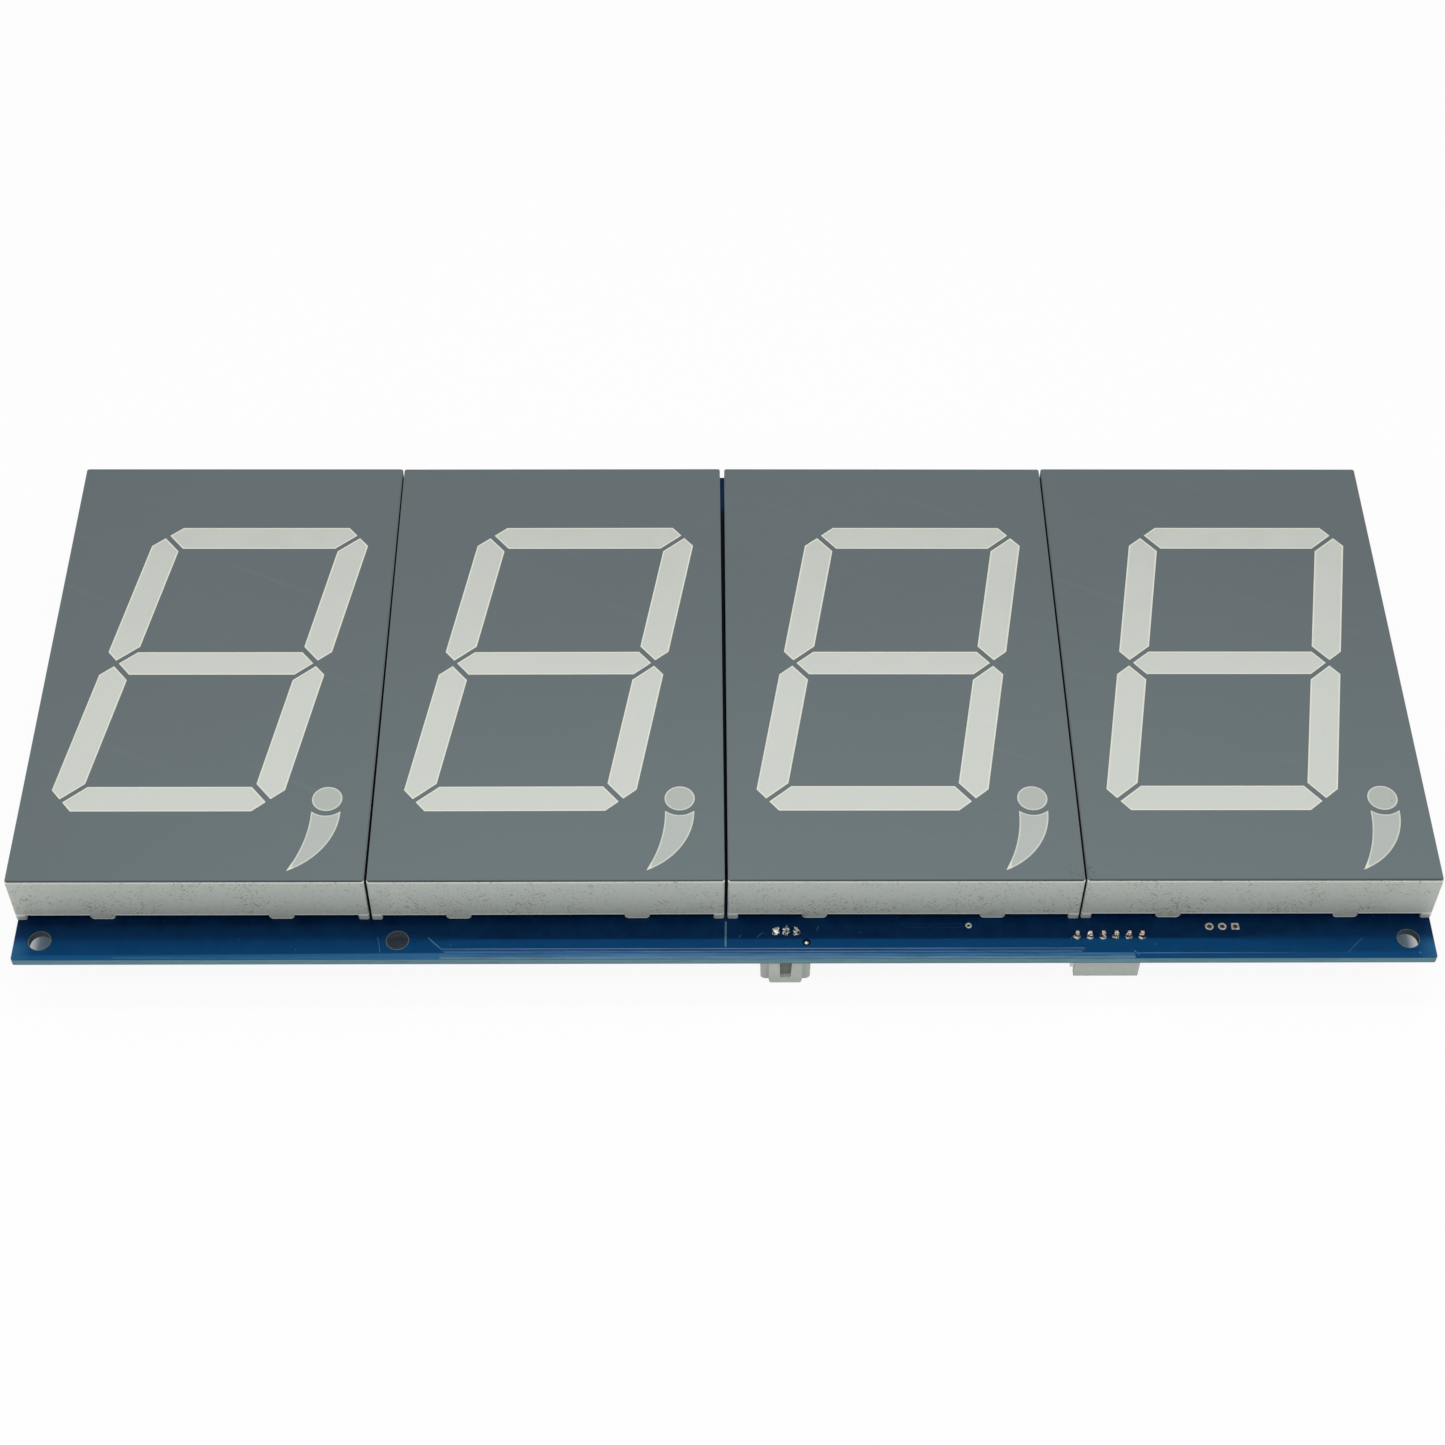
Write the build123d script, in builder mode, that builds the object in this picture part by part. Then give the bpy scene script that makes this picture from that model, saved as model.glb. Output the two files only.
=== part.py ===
from build123d import *
from math import cos, radians, sin, tan
import os

os.makedirs("parts", exist_ok=True)

# A display board with four large seven-bar digits side by side on one circuit board.
# X runs along the row of digits, Y towards the tops of the figures, Z out of their faces.
# The origin is the centre of the board's rear face, between the four corner holes.
# All lengths are millimetres, and angles are degrees.

# The circuit board, set by the digits on it
board_end_inset = 0.3
board_front_strip = 9.5
board_back_strip = 9.5
board_thickness = 1.6
board_corner_radius = 0.5
fixing_hole_radius = 2.15
fixing_hole_edge_x = 5.0
fixing_hole_edge_y = 4.5
middle_hole_x = -64.0
test_hole_x = 15.7
test_hole_from_front = 3.9
test_hole_radius = 0.4

# The digit modules, each soldered a hair out of square
digit_width = 69.0
digit_length = 111.0
digit_height = 12.5
digit_gap = 0.4
centre_gap = 0.8
digit_turns = (0.0, 0.10, -0.07, -0.06)

# The figure on each digit's face, placed from its left and front sides
figure_width = 46.0
figure_height = 76.2
figure_left = 4.9
figure_foot = 17.1
figure_slant = 9.75
bar_width = 6.1
bar_gap = 1.0
bar_corner_cut = 5.25
waist_inset = 2.33
dot_from_left = 60.3
dot_from_front = 20.15
dot_radius = 3.0
tail_gap = 1.12
tail_shoulder_angle = 44.5
tail_outer_bow = (1.15, -10.4)
tail_inner_bow = (-3.72, -10.4)
tail_tip = (-6.5, -17.55)
comma_chip_steps = ((0.0, 0.0), (0.0, -5.8), (-1.3, -9.2))

# The moulded housing with its light wells
housing_corner_radius = 0.4
side_wall = 1.6
well_wall = 1.0
face_plate = 1.2
rim_height = 1.5
foot_width = 2.1
tab_root_width = 4.9
tab_corner_radius = 0.9
tab_clearance = 0.25
tab_spacing = 34.9

# The grey face film and the cast light bars behind its windows
film_thickness = 0.2
film_inset = 0.15
window_rim = 0.22
bar_depth = 2.4
bar_recess = 0.06
cast_clearance = 0.02

# The small light board that closes each housing, and its light chips
light_board_thickness = 1.2
light_board_clearance = 0.15
light_chip_size = 1.4
light_chip_height = 0.6
light_chips_per_bar = 4

# The digit's pins
pin_diameter = 0.6
pin_pitch = 2.54
pins_per_row = 6
pin_row_inset = 4.7
pin_tail = 2.2
pin_hole_clearance = 0.15
joint_radius = 1.0
joint_tip_radius = 0.45
joint_height = 0.9

# The three-way power header at the board's front edge
power_x = 11.75
power_from_front = 6.15
power_ways = 3
power_pitch = 2.0
power_height = 9.0
power_side = 2.875
power_front = 3.6
power_back = 2.45
power_wall = 0.9
power_floor = 1.8
power_pin_size = 0.5
power_pin_depth = 7.0
power_lip_width = 6.6
power_lip_proud = 1.0
power_lip_bevel_width = 0.3
power_lip_bevel_height = 1.1
power_slot_width = 2.5
power_slot_foot_width = 2.0
power_slot_foot = 1.8
power_corner_radius = 1.1

# The six-way signal header beside it
signal_x = 75.0
signal_from_front = 5.2
signal_ways = 6
signal_pitch = 2.54
signal_base_height = 3.2
signal_front = 3.0
signal_back = 2.8
signal_plate_height = 7.8
signal_plate_root = 1.7
signal_plate_tip = 1.1
signal_ridge = 0.4
signal_ridge_height = 1.2
signal_pin_size = 0.64
signal_pin_depth = 8.6
header_pin_tail = 1.4
top_joint_radius = 0.82
top_joint_tip_radius = 0.5
top_joint_height = 0.8

# Plated holes that are left open: three in a row, and one by itself
open_pad_x = 97.4
open_pad_from_front = 7.5
open_pad_pitch = 2.54
open_pad_count = 3
open_pad_radius = 0.85
open_pad_bore = 0.5
lone_pad_x = 47.6
lone_pad_from_front = 7.8
lone_pad_radius = 0.65
lone_pad_bore = 0.3
plating_thickness = 0.05

# The parts on the board's rear, the same set behind each digit
driver_length = 12.8
driver_width = 7.5
driver_height = 2.3
driver_standoff = 0.15
driver_edge = 0.15
driver_y = 10.0
driver_ways = 10
driver_lead_pitch = 1.27
driver_lead_width = 0.42
driver_lead_thickness = 0.25
driver_lead_reach = 1.45
driver_lead_foot = 0.8
resistor_length = 3.2
resistor_width = 1.6
resistor_height = 0.55
resistor_pitch = 3.4
resistors_per_digit = 8
resistor_y = -8.0
ceramic_length = 2.0
ceramic_width = 1.25
ceramic_height = 0.9
ceramic_gap = 3.2
bulk_y = 36.0
bulk_diameter = 8.0
bulk_height = 9.0
bulk_lead_pitch = 3.5
bulk_lead_diameter = 0.6
bulk_lead_tail = 1.0
bulk_groove_depth = 0.35
bulk_groove_width = 0.9
bulk_groove_height = 1.9
bulk_edge_radius = 0.5
bulk_bung_diameter = 7.2
bulk_bung_height = 0.4


# The board's outline, which the row of digits hangs over by a little at each end
row_length = 4 * digit_width + 2 * digit_gap + centre_gap
board_length = row_length - 2 * board_end_inset
board_front = -digit_length / 2 - board_front_strip
board_back = digit_length / 2 + board_back_strip
board_width = board_back - board_front
board_middle = (board_front + board_back) / 2

# Heights above the board's rear face and, inside a digit, above the board's top
housing_top = digit_height - film_thickness
well_floor = rim_height + light_board_thickness
bar_top = digit_height - bar_recess
bar_underside = bar_top - bar_depth
pin_hole_radius = pin_diameter / 2 + pin_hole_clearance
fixing_hole_x = board_length / 2 - fixing_hole_edge_x
fixing_rows = (board_front + fixing_hole_edge_y, board_back - fixing_hole_edge_y)
power_y = board_front + power_from_front
signal_y = board_front + signal_from_front
open_pad_y = board_front + open_pad_from_front
lone_pad_y = board_front + lone_pad_from_front
test_hole_y = board_front + test_hole_from_front


def save(piece, name):
    """Name a finished piece and write it to its own file."""
    piece.part.label = name
    export_step(piece.part, f"parts/{name}.step")


def digit_places():
    """The plane on the board's top that each digit stands on, from left to right."""
    inner = (centre_gap + digit_width) / 2
    outer = inner + digit_gap + digit_width
    places = []
    for x, turn in zip((-outer, -inner, inner, outer), digit_turns):
        along = (cos(radians(turn)), sin(radians(turn)), 0)
        places.append(Plane(origin=(x, 0, board_thickness), x_dir=along, z_dir=(0, 0, 1)))
    return places


def slanted(u, v):
    """A point of the upright figure, leaned over and placed on the digit's face."""
    x = figure_left - digit_width / 2 + u + v * tan(radians(figure_slant))
    y = figure_foot - digit_length / 2 + v
    return (x, y)


def bar_outlines():
    """The seven bars of the figure, cut apart by gaps along its diagonals."""
    wide, high, thick, cut = figure_width, figure_height, bar_width, bar_corner_cut
    middle = high / 2
    nick = bar_gap / 2 ** 0.5
    # The cut corner is halved by the gap, which leaves a long side and a short one
    far = (cut + nick) / 2
    near = (cut - nick) / 2
    top = [
        (far, high - near), (cut, high), (wide - cut, high), (wide - far, high - near),
        (wide - thick - nick, high - thick), (thick + nick, high - thick),
    ]
    upper_left = [
        (near, high - far), (thick, high - thick - nick), (thick, middle + thick - waist_inset + nick),
        (waist_inset, middle + nick), (0, middle + waist_inset + nick), (0, high - cut),
    ]
    half = thick / 2
    left_tip = waist_inset + nick
    right_tip = wide - left_tip
    waist = [
        (left_tip, middle), (left_tip + half, middle + half), (right_tip - half, middle + half),
        (right_tip, middle), (right_tip - half, middle - half), (left_tip + half, middle - half),
    ]
    upper_right = [(wide - u, v) for u, v in upper_left]
    lower_left = [(u, high - v) for u, v in upper_left]
    lower_right = [(wide - u, high - v) for u, v in upper_left]
    bottom = [(u, high - v) for u, v in top]
    return [top, upper_left, upper_right, waist, lower_left, lower_right, bottom]


def tail_outline():
    """The comma's tail: a shoulder that follows the dot, and two bowed sides to a point."""
    radius = dot_radius + tail_gap
    across = radius * sin(radians(tail_shoulder_angle))
    down = -radius * cos(radians(tail_shoulder_angle))
    with BuildLine() as tail:
        ThreePointArc((-across, down), (0, -radius), (across, down))
        ThreePointArc((across, down), tail_outer_bow, tail_tip)
        ThreePointArc(tail_tip, tail_inner_bow, (-across, down))
    return tail.wire()


def figure(grow):
    """The figure's nine openings as one sketch, each made larger all round by grow."""
    dot_centre = (dot_from_left - digit_width / 2, dot_from_front - digit_length / 2)
    with BuildSketch() as openings:
        for outline in bar_outlines():
            with BuildSketch(mode=Mode.PRIVATE) as bar:
                Polygon(*[slanted(u, v) for u, v in outline], align=None)
                if grow != 0:
                    offset(amount=grow, kind=Kind.INTERSECTION)
            add(bar.sketch)
        with Locations(dot_centre):
            Circle(dot_radius + grow)
        with BuildSketch(mode=Mode.PRIVATE) as tail:
            make_face(tail_outline())
            if grow != 0:
                offset(amount=grow, kind=Kind.ARC if grow > 0 else Kind.INTERSECTION)
        with Locations(dot_centre):
            add(tail.sketch)
    return openings.sketch


def light_chip_points():
    """The chips under each bar, evenly spaced on its middle line, then the comma's."""
    level = bar_width / 2
    columns = (level, figure_width - level)
    rows = (level, figure_height / 2, figure_height - level)
    points = []
    for number in range(light_chips_per_bar):
        share = (number + 0.5) / light_chips_per_bar
        across = bar_corner_cut + share * (figure_width - 2 * bar_corner_cut)
        points += [slanted(across, row) for row in rows]
        rise = bar_corner_cut + share * (figure_height / 2 - bar_corner_cut - bar_width / 2)
        for column in columns:
            points.append(slanted(column, rise))
            points.append(slanted(column, figure_height - rise))
    dot_x = dot_from_left - digit_width / 2
    dot_y = dot_from_front - digit_length / 2
    return points + [(dot_x + across, dot_y + up) for across, up in comma_chip_steps]


def pin_row(x, y, ways, pitch):
    """A row of evenly spaced points along X, centred on x."""
    return [(x + (number - (ways - 1) / 2) * pitch, y) for number in range(ways)]


def pin_points():
    """The digit's two rows of pins, across its front and its back."""
    points = []
    row_y = digit_length / 2 - pin_row_inset
    for y in (-row_y, row_y):
        points += pin_row(0, y, pins_per_row, pin_pitch)
    return points


power_points = pin_row(power_x, power_y, power_ways, power_pitch)
signal_points = pin_row(signal_x, signal_y, signal_ways, signal_pitch)
open_pad_points = pin_row(open_pad_x, open_pad_y, open_pad_count, open_pad_pitch)
places = digit_places()
windows = figure(0)
wells = figure(-window_rim)
well_walls = figure(well_wall - window_rim)
castings = figure(-window_rim - cast_clearance)


def make_housing():
    """The off-white box with its light wells, feet and tabs, in the digit's own place."""
    with BuildPart() as housing:
        with BuildSketch(Plane.XY.offset(rim_height)):
            RectangleRounded(digit_width, digit_length, housing_corner_radius)
        extrude(amount=housing_top - rim_height)
        with BuildSketch(Plane.XY.offset(rim_height)):
            Rectangle(digit_width - 2 * side_wall, digit_length - 2 * side_wall)
        extrude(amount=housing_top - face_plate - rim_height, mode=Mode.SUBTRACT)
        with BuildSketch(Plane.XY.offset(well_floor)):
            add(well_walls)
        extrude(amount=housing_top - well_floor)
        with BuildSketch(Plane.XY.offset(well_floor)):
            add(wells)
        extrude(amount=housing_top - well_floor, mode=Mode.SUBTRACT)
        # A foot under each corner
        with BuildSketch(Plane.XY):
            with GridLocations(digit_width - foot_width, digit_length - foot_width, 2, 2):
                RectangleRounded(foot_width, foot_width, housing_corner_radius)
        extrude(amount=rim_height)
        # Two round-cornered tabs hang from the rim at the front and at the back
        tab_drop = rim_height - tab_clearance
        front_wall = Plane(origin=(0, -digit_length / 2, 0), x_dir=(1, 0, 0), z_dir=(0, 1, 0))
        back_wall = front_wall.offset(digit_length - side_wall)
        for wall in (front_wall, back_wall):
            with BuildSketch(wall) as tabs:
                with Locations((-tab_spacing / 2, -tab_clearance), (tab_spacing / 2, -tab_clearance)):
                    Rectangle(tab_root_width, tab_drop, align=(Align.CENTER, Align.MAX))
                low_corners = tabs.vertices().group_by(Axis.Y)[-1]
                fillet(low_corners, radius=tab_corner_radius)
            extrude(amount=side_wall)
    return housing.part


def make_film():
    """The grey film over the face, with a window for each bar, the dot and the tail."""
    with BuildPart() as film:
        with BuildSketch(Plane.XY.offset(housing_top)):
            RectangleRounded(digit_width - 2 * film_inset, digit_length - 2 * film_inset,
                             housing_corner_radius)
            add(windows, mode=Mode.SUBTRACT)
        extrude(amount=film_thickness)
    return film.part


def make_light_bars():
    """The nine cast light bars that fill the tops of the wells."""
    with BuildPart() as bars:
        with BuildSketch(Plane.XY.offset(bar_underside)):
            add(castings)
        extrude(amount=bar_depth)
    return bars.part


def make_light_board():
    """The small board that closes the housing from below, drilled for the pins."""
    inner_width = digit_width - 2 * side_wall - 2 * light_board_clearance
    inner_length = digit_length - 2 * side_wall - 2 * light_board_clearance
    with BuildPart() as light_board:
        with BuildSketch(Plane.XY.offset(rim_height)):
            Rectangle(inner_width, inner_length)
            with Locations(*pin_points()):
                Circle(pin_diameter / 2, mode=Mode.SUBTRACT)
        extrude(amount=light_board_thickness)
    return light_board.part


def make_light_chips():
    """The light chips on that board, inside the wells."""
    with BuildPart() as chips:
        with BuildSketch(Plane.XY.offset(well_floor)):
            with Locations(*light_chip_points()):
                Rectangle(light_chip_size, light_chip_size)
        extrude(amount=light_chip_height)
    return chips.part


def make_pins():
    """The digit's pins, from the light board down through the circuit board."""
    with BuildPart() as pins:
        with BuildSketch(Plane.XY.offset(-board_thickness - pin_tail)):
            with Locations(*pin_points()):
                Circle(pin_diameter / 2)
        extrude(amount=pin_tail + board_thickness + well_floor)
    return pins.part


def save_digits():
    """Every digit is the same six pieces, set down on its own place."""
    pieces = {
        "housing": make_housing(),
        "face_film": make_film(),
        "light_bars": make_light_bars(),
        "light_board": make_light_board(),
        "light_chips": make_light_chips(),
        "digit_pins": make_pins(),
    }
    for number, place in enumerate(places, start=1):
        for name, form in pieces.items():
            with BuildPart() as piece:
                with Locations(place):
                    add(form)
            save(piece, f"{name}_{number}")


def board_points(points):
    """Points on the digits' faces as points on the circuit board, for all four digits."""
    spots = []
    for place in places:
        for x, y in points:
            spot = place.from_local_coords((x, y, 0))
            spots.append((spot.X, spot.Y))
    return spots


def fixing_points():
    """The corner holes, and one hole more in the front row and in the back row."""
    columns = (-fixing_hole_x, middle_hole_x, fixing_hole_x)
    return [(x, y) for x in columns for y in fixing_rows]


def save_main_board():
    """The circuit board, with every hole that something goes through."""
    power_hole = power_pin_size * 2 ** 0.5 / 2 + pin_hole_clearance
    signal_hole = signal_pin_size * 2 ** 0.5 / 2 + pin_hole_clearance
    bulk_hole = bulk_lead_diameter / 2 + pin_hole_clearance
    with BuildPart() as board:
        with BuildSketch():
            with Locations((0, board_middle)):
                RectangleRounded(board_length, board_width, board_corner_radius)
            drilled = (
                (fixing_points(), fixing_hole_radius),
                (board_points(pin_points()), pin_hole_radius),
                (power_points, power_hole),
                (signal_points, signal_hole),
                (bulk_lead_points(), bulk_hole),
                (open_pad_points, open_pad_bore),
                ([(lone_pad_x, lone_pad_y)], lone_pad_bore),
                ([(test_hole_x, test_hole_y)], test_hole_radius),
            )
            for points, radius in drilled:
                with Locations(*points):
                    Circle(radius, mode=Mode.SUBTRACT)
        extrude(amount=board_thickness)
    save(board, "main_board")


def save_power_header():
    """The locking header for power: a shroud that opens downwards, with three pins."""
    width = (power_ways - 1) * power_pitch + 2 * power_side
    depth = power_front + power_back
    middle_y = power_y + (power_back - power_front) / 2
    front_y = power_y - power_front
    with BuildPart() as shroud:
        with BuildSketch(Plane(origin=(power_x, front_y, 0), x_dir=(1, 0, 0), z_dir=(0, 1, 0))) as front:
            Rectangle(width, power_height, align=(Align.CENTER, Align.MIN))
            fillet(front.vertices().group_by(Axis.Y)[-1], radius=power_corner_radius)
        extrude(amount=depth)
        # The lip stands proud of the front, with its low corners bevelled
        with BuildSketch(Plane(origin=(power_x, front_y, 0), x_dir=(1, 0, 0), z_dir=(0, 1, 0))):
            half = power_lip_width / 2
            slot = power_slot_width / 2
            slot_foot = power_slot_foot_width / 2
            bevel = power_height - power_lip_bevel_height
            Polygon((-half, 0), (half, 0), (half, bevel), (half - power_lip_bevel_width, power_height),
                    (power_lip_bevel_width - half, power_height), (-half, bevel), align=None)
            Polygon((-slot, power_floor), (slot, power_floor), (slot_foot, power_height - power_slot_foot),
                    (-slot_foot, power_height - power_slot_foot), align=None, mode=Mode.SUBTRACT)
        extrude(amount=-power_lip_proud)
        with BuildSketch(Plane(origin=(power_x, middle_y, -power_height))):
            Rectangle(width - 2 * power_wall, depth - 2 * power_wall)
        extrude(amount=power_height - power_floor, mode=Mode.SUBTRACT)
        with BuildSketch(Plane(origin=(0, 0, -power_floor))):
            with Locations(*power_points):
                Rectangle(power_pin_size, power_pin_size)
        extrude(amount=power_floor, mode=Mode.SUBTRACT)
    save(shroud, "power_header_shroud")
    with BuildPart() as pins:
        with BuildSketch(Plane.XY.offset(-power_pin_depth)):
            with Locations(*power_points):
                Rectangle(power_pin_size, power_pin_size)
        extrude(amount=power_pin_depth + board_thickness + header_pin_tail)
    save(pins, "power_header_pins")


def save_signal_header():
    """The signal header: a low base, a friction plate in front and six pins."""
    base_width = signal_ways * signal_pitch
    plate_width = (signal_ways - 1) * signal_pitch
    depth = signal_front + signal_back
    middle_y = signal_y + (signal_back - signal_front) / 2
    front_y = signal_y - signal_front
    with BuildPart() as base:
        with BuildSketch(Plane(origin=(signal_x, middle_y, -signal_base_height))):
            Rectangle(base_width, depth)
        extrude(amount=signal_base_height)
        side = Plane(origin=(signal_x - plate_width / 2, front_y, 0), x_dir=(0, 1, 0), z_dir=(1, 0, 0))
        ridge_top = signal_ridge_height - signal_plate_height
        with BuildSketch(side):
            Polygon((0, -signal_base_height), (0, -signal_plate_height),
                    (signal_plate_tip, -signal_plate_height),
                    (signal_plate_tip + signal_ridge, ridge_top),
                    (signal_plate_tip + signal_ridge / 2, ridge_top + signal_ridge),
                    (signal_plate_root, -signal_base_height), align=None)
        extrude(amount=plate_width)
        with BuildSketch(Plane(origin=(0, 0, -signal_base_height))):
            with Locations(*signal_points):
                Rectangle(signal_pin_size, signal_pin_size)
        extrude(amount=signal_base_height, mode=Mode.SUBTRACT)
    save(base, "signal_header_base")
    with BuildPart() as pins:
        with BuildSketch(Plane.XY.offset(-signal_pin_depth)):
            with Locations(*signal_points):
                Rectangle(signal_pin_size, signal_pin_size)
        extrude(amount=signal_pin_depth + board_thickness + header_pin_tail)
    save(pins, "signal_header_pins")


def save_top_joints():
    """The solder round the header pins and the capacitors' leads, on the board's top."""
    low = (Align.CENTER, Align.CENTER, Align.MIN)
    with BuildPart() as joints:
        with Locations(Plane.XY.offset(board_thickness)):
            with Locations(*power_points, *signal_points, *bulk_lead_points()):
                Cone(top_joint_radius, top_joint_tip_radius, top_joint_height, align=low)
            for points, pin_size in ((power_points, power_pin_size), (signal_points, signal_pin_size)):
                with Locations(*points):
                    Box(pin_size, pin_size, top_joint_height, align=low, mode=Mode.SUBTRACT)
            with Locations(*bulk_lead_points()):
                Cylinder(bulk_lead_diameter / 2, top_joint_height, align=low, mode=Mode.SUBTRACT)
    save(joints, "top_solder_joints")


def save_rear_joints():
    """The solder round the digits' pins, on the board's rear."""
    high = (Align.CENTER, Align.CENTER, Align.MAX)
    with BuildPart() as joints:
        with Locations(*board_points(pin_points())):
            Cone(joint_tip_radius, joint_radius, joint_height, align=high)
        with Locations(*board_points(pin_points())):
            Cylinder(pin_diameter / 2, joint_height, align=high, mode=Mode.SUBTRACT)
    save(joints, "rear_solder_joints")


def save_open_pads():
    """Plated holes with nothing in them: a ring on each side and a sleeve between."""
    pads = ((open_pad_points, open_pad_radius, open_pad_bore),
            ([(lone_pad_x, lone_pad_y)], lone_pad_radius, lone_pad_bore))
    with BuildPart() as plating:
        for points, radius, drilled in pads:
            layers = ((-plating_thickness, radius, plating_thickness), (0, drilled, board_thickness),
                      (board_thickness, radius, plating_thickness))
            for level, outer, thickness in layers:
                with BuildSketch(Plane.XY.offset(level)):
                    with Locations(*points):
                        Circle(outer)
                        Circle(drilled - plating_thickness, mode=Mode.SUBTRACT)
                extrude(amount=thickness)
    save(plating, "open_pads")


def bulk_centres():
    """One large capacitor stands behind each of the two outer digits."""
    return [(places[0].origin.X, bulk_y), (places[-1].origin.X, bulk_y)]


def bulk_lead_points():
    """Two leads for each large capacitor."""
    return [(x + side * bulk_lead_pitch / 2, y) for x, y in bulk_centres() for side in (-1, 1)]


def save_bulk_capacitors():
    """The upright electrolytic cans, with a rolled groove near the board and two leads."""
    radius = bulk_diameter / 2
    groove_mid = -bulk_groove_height
    with BuildPart() as cans:
        with BuildSketch(Plane.XZ):
            with BuildLine():
                Polyline((0, -bulk_height), (radius - bulk_edge_radius, -bulk_height))
                TangentArc((radius - bulk_edge_radius, -bulk_height),
                           (radius, -bulk_height + bulk_edge_radius), tangent=(1, 0))
                Line((radius, -bulk_height + bulk_edge_radius), (radius, groove_mid - bulk_groove_width))
                ThreePointArc((radius, groove_mid - bulk_groove_width),
                              (radius - bulk_groove_depth, groove_mid),
                              (radius, groove_mid + bulk_groove_width))
                Polyline((radius, groove_mid + bulk_groove_width), (radius, -bulk_bung_height),
                         (bulk_bung_diameter / 2, -bulk_bung_height), (bulk_bung_diameter / 2, 0),
                         (0, 0), (0, -bulk_height))
            make_face()
        revolve(axis=Axis.Z)
    with BuildPart() as placed:
        with Locations(*bulk_centres()):
            add(cans.part)
    save(placed, "bulk_capacitors")
    with BuildPart() as leads:
        with BuildSketch():
            with Locations(*bulk_lead_points()):
                Circle(bulk_lead_diameter / 2)
        extrude(amount=board_thickness + bulk_lead_tail)
    save(leads, "bulk_capacitor_leads")


def save_drivers():
    """A driver chip behind each digit, on two rows of gull-wing leads."""
    top = -driver_standoff
    centres = [(place.origin.X, driver_y) for place in places]
    with BuildPart() as bodies:
        with BuildSketch(Plane.XY.offset(top - driver_height)):
            with Locations(*centres):
                Rectangle(driver_length, driver_width)
        extrude(amount=driver_height)
        chamfer(bodies.faces().group_by(Axis.Z)[0].edges(), length=driver_edge)
    save(bodies, "driver_chips")
    with BuildPart() as lead:
        reach = driver_width / 2 + driver_lead_reach
        level = top - driver_height / 2
        knee = driver_width / 2 + driver_lead_foot / 2
        with BuildSketch(Plane(origin=(-driver_lead_width / 2, 0, 0), x_dir=(0, 1, 0), z_dir=(1, 0, 0))):
            with BuildLine():
                Polyline((driver_width / 2, level), (knee, level),
                         (reach - driver_lead_foot, 0), (reach, 0),
                         (reach, -driver_lead_thickness),
                         (reach - driver_lead_foot + driver_lead_thickness / 2, -driver_lead_thickness),
                         (knee + driver_lead_thickness / 2, level - driver_lead_thickness),
                         (driver_width / 2, level - driver_lead_thickness), close=True)
            make_face()
        extrude(amount=driver_lead_width)
        mirror(about=Plane.XZ)
    with BuildPart() as leads:
        with Locations(*centres):
            with GridLocations(driver_lead_pitch, 0, driver_ways, 1):
                add(lead.part)
    save(leads, "driver_chip_leads")


def save_small_parts():
    """A row of bar resistors and one ceramic capacitor behind each digit."""
    resistor_points = []
    for place in places:
        resistor_points += pin_row(place.origin.X, resistor_y, resistors_per_digit, resistor_pitch)
    with BuildPart() as resistors:
        with Locations(*resistor_points):
            Box(resistor_width, resistor_length, resistor_height,
                align=(Align.CENTER, Align.CENTER, Align.MAX))
    save(resistors, "bar_resistors")
    ceramic_x = driver_length / 2 + ceramic_gap
    with BuildPart() as ceramics:
        with Locations(*[(place.origin.X + ceramic_x, driver_y) for place in places]):
            Box(ceramic_width, ceramic_length, ceramic_height,
                align=(Align.CENTER, Align.CENTER, Align.MAX))
    save(ceramics, "ceramic_capacitors")


save_digits()
save_main_board()
save_power_header()
save_signal_header()
save_top_joints()
save_rear_joints()
save_open_pads()
save_bulk_capacitors()
save_drivers()
save_small_parts()
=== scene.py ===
from math import cos, pi, radians, sin

import bmesh
import bpy
from mathutils import Matrix, Vector, noise


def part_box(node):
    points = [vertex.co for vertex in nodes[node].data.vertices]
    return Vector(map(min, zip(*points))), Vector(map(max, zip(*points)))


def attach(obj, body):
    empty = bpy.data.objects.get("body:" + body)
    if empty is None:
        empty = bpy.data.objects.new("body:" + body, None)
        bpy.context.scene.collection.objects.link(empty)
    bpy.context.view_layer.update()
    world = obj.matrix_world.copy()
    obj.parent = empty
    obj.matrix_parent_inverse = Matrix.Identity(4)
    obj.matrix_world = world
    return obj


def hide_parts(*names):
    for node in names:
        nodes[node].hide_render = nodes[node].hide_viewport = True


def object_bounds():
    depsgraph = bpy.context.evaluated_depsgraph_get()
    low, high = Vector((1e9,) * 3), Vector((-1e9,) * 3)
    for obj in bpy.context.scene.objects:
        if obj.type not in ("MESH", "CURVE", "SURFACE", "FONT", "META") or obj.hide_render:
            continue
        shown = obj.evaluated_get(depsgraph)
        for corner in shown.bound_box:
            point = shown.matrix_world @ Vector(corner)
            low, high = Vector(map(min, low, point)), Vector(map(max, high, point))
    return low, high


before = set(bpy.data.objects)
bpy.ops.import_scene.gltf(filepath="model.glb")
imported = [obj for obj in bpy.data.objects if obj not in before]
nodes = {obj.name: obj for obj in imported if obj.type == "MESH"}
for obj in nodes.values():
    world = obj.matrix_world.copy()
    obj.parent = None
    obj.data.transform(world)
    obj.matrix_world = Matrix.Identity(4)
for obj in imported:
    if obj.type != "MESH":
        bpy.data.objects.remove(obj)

# The four-digit board in metres, in the frame of its solids: X along the row of digits,
# Y towards the tops of the figures, Z out of their faces, zero on the board's rear face.
cad_box = [list(corner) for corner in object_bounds()]
mm = 0.001
digits = range(1, 5)

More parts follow.
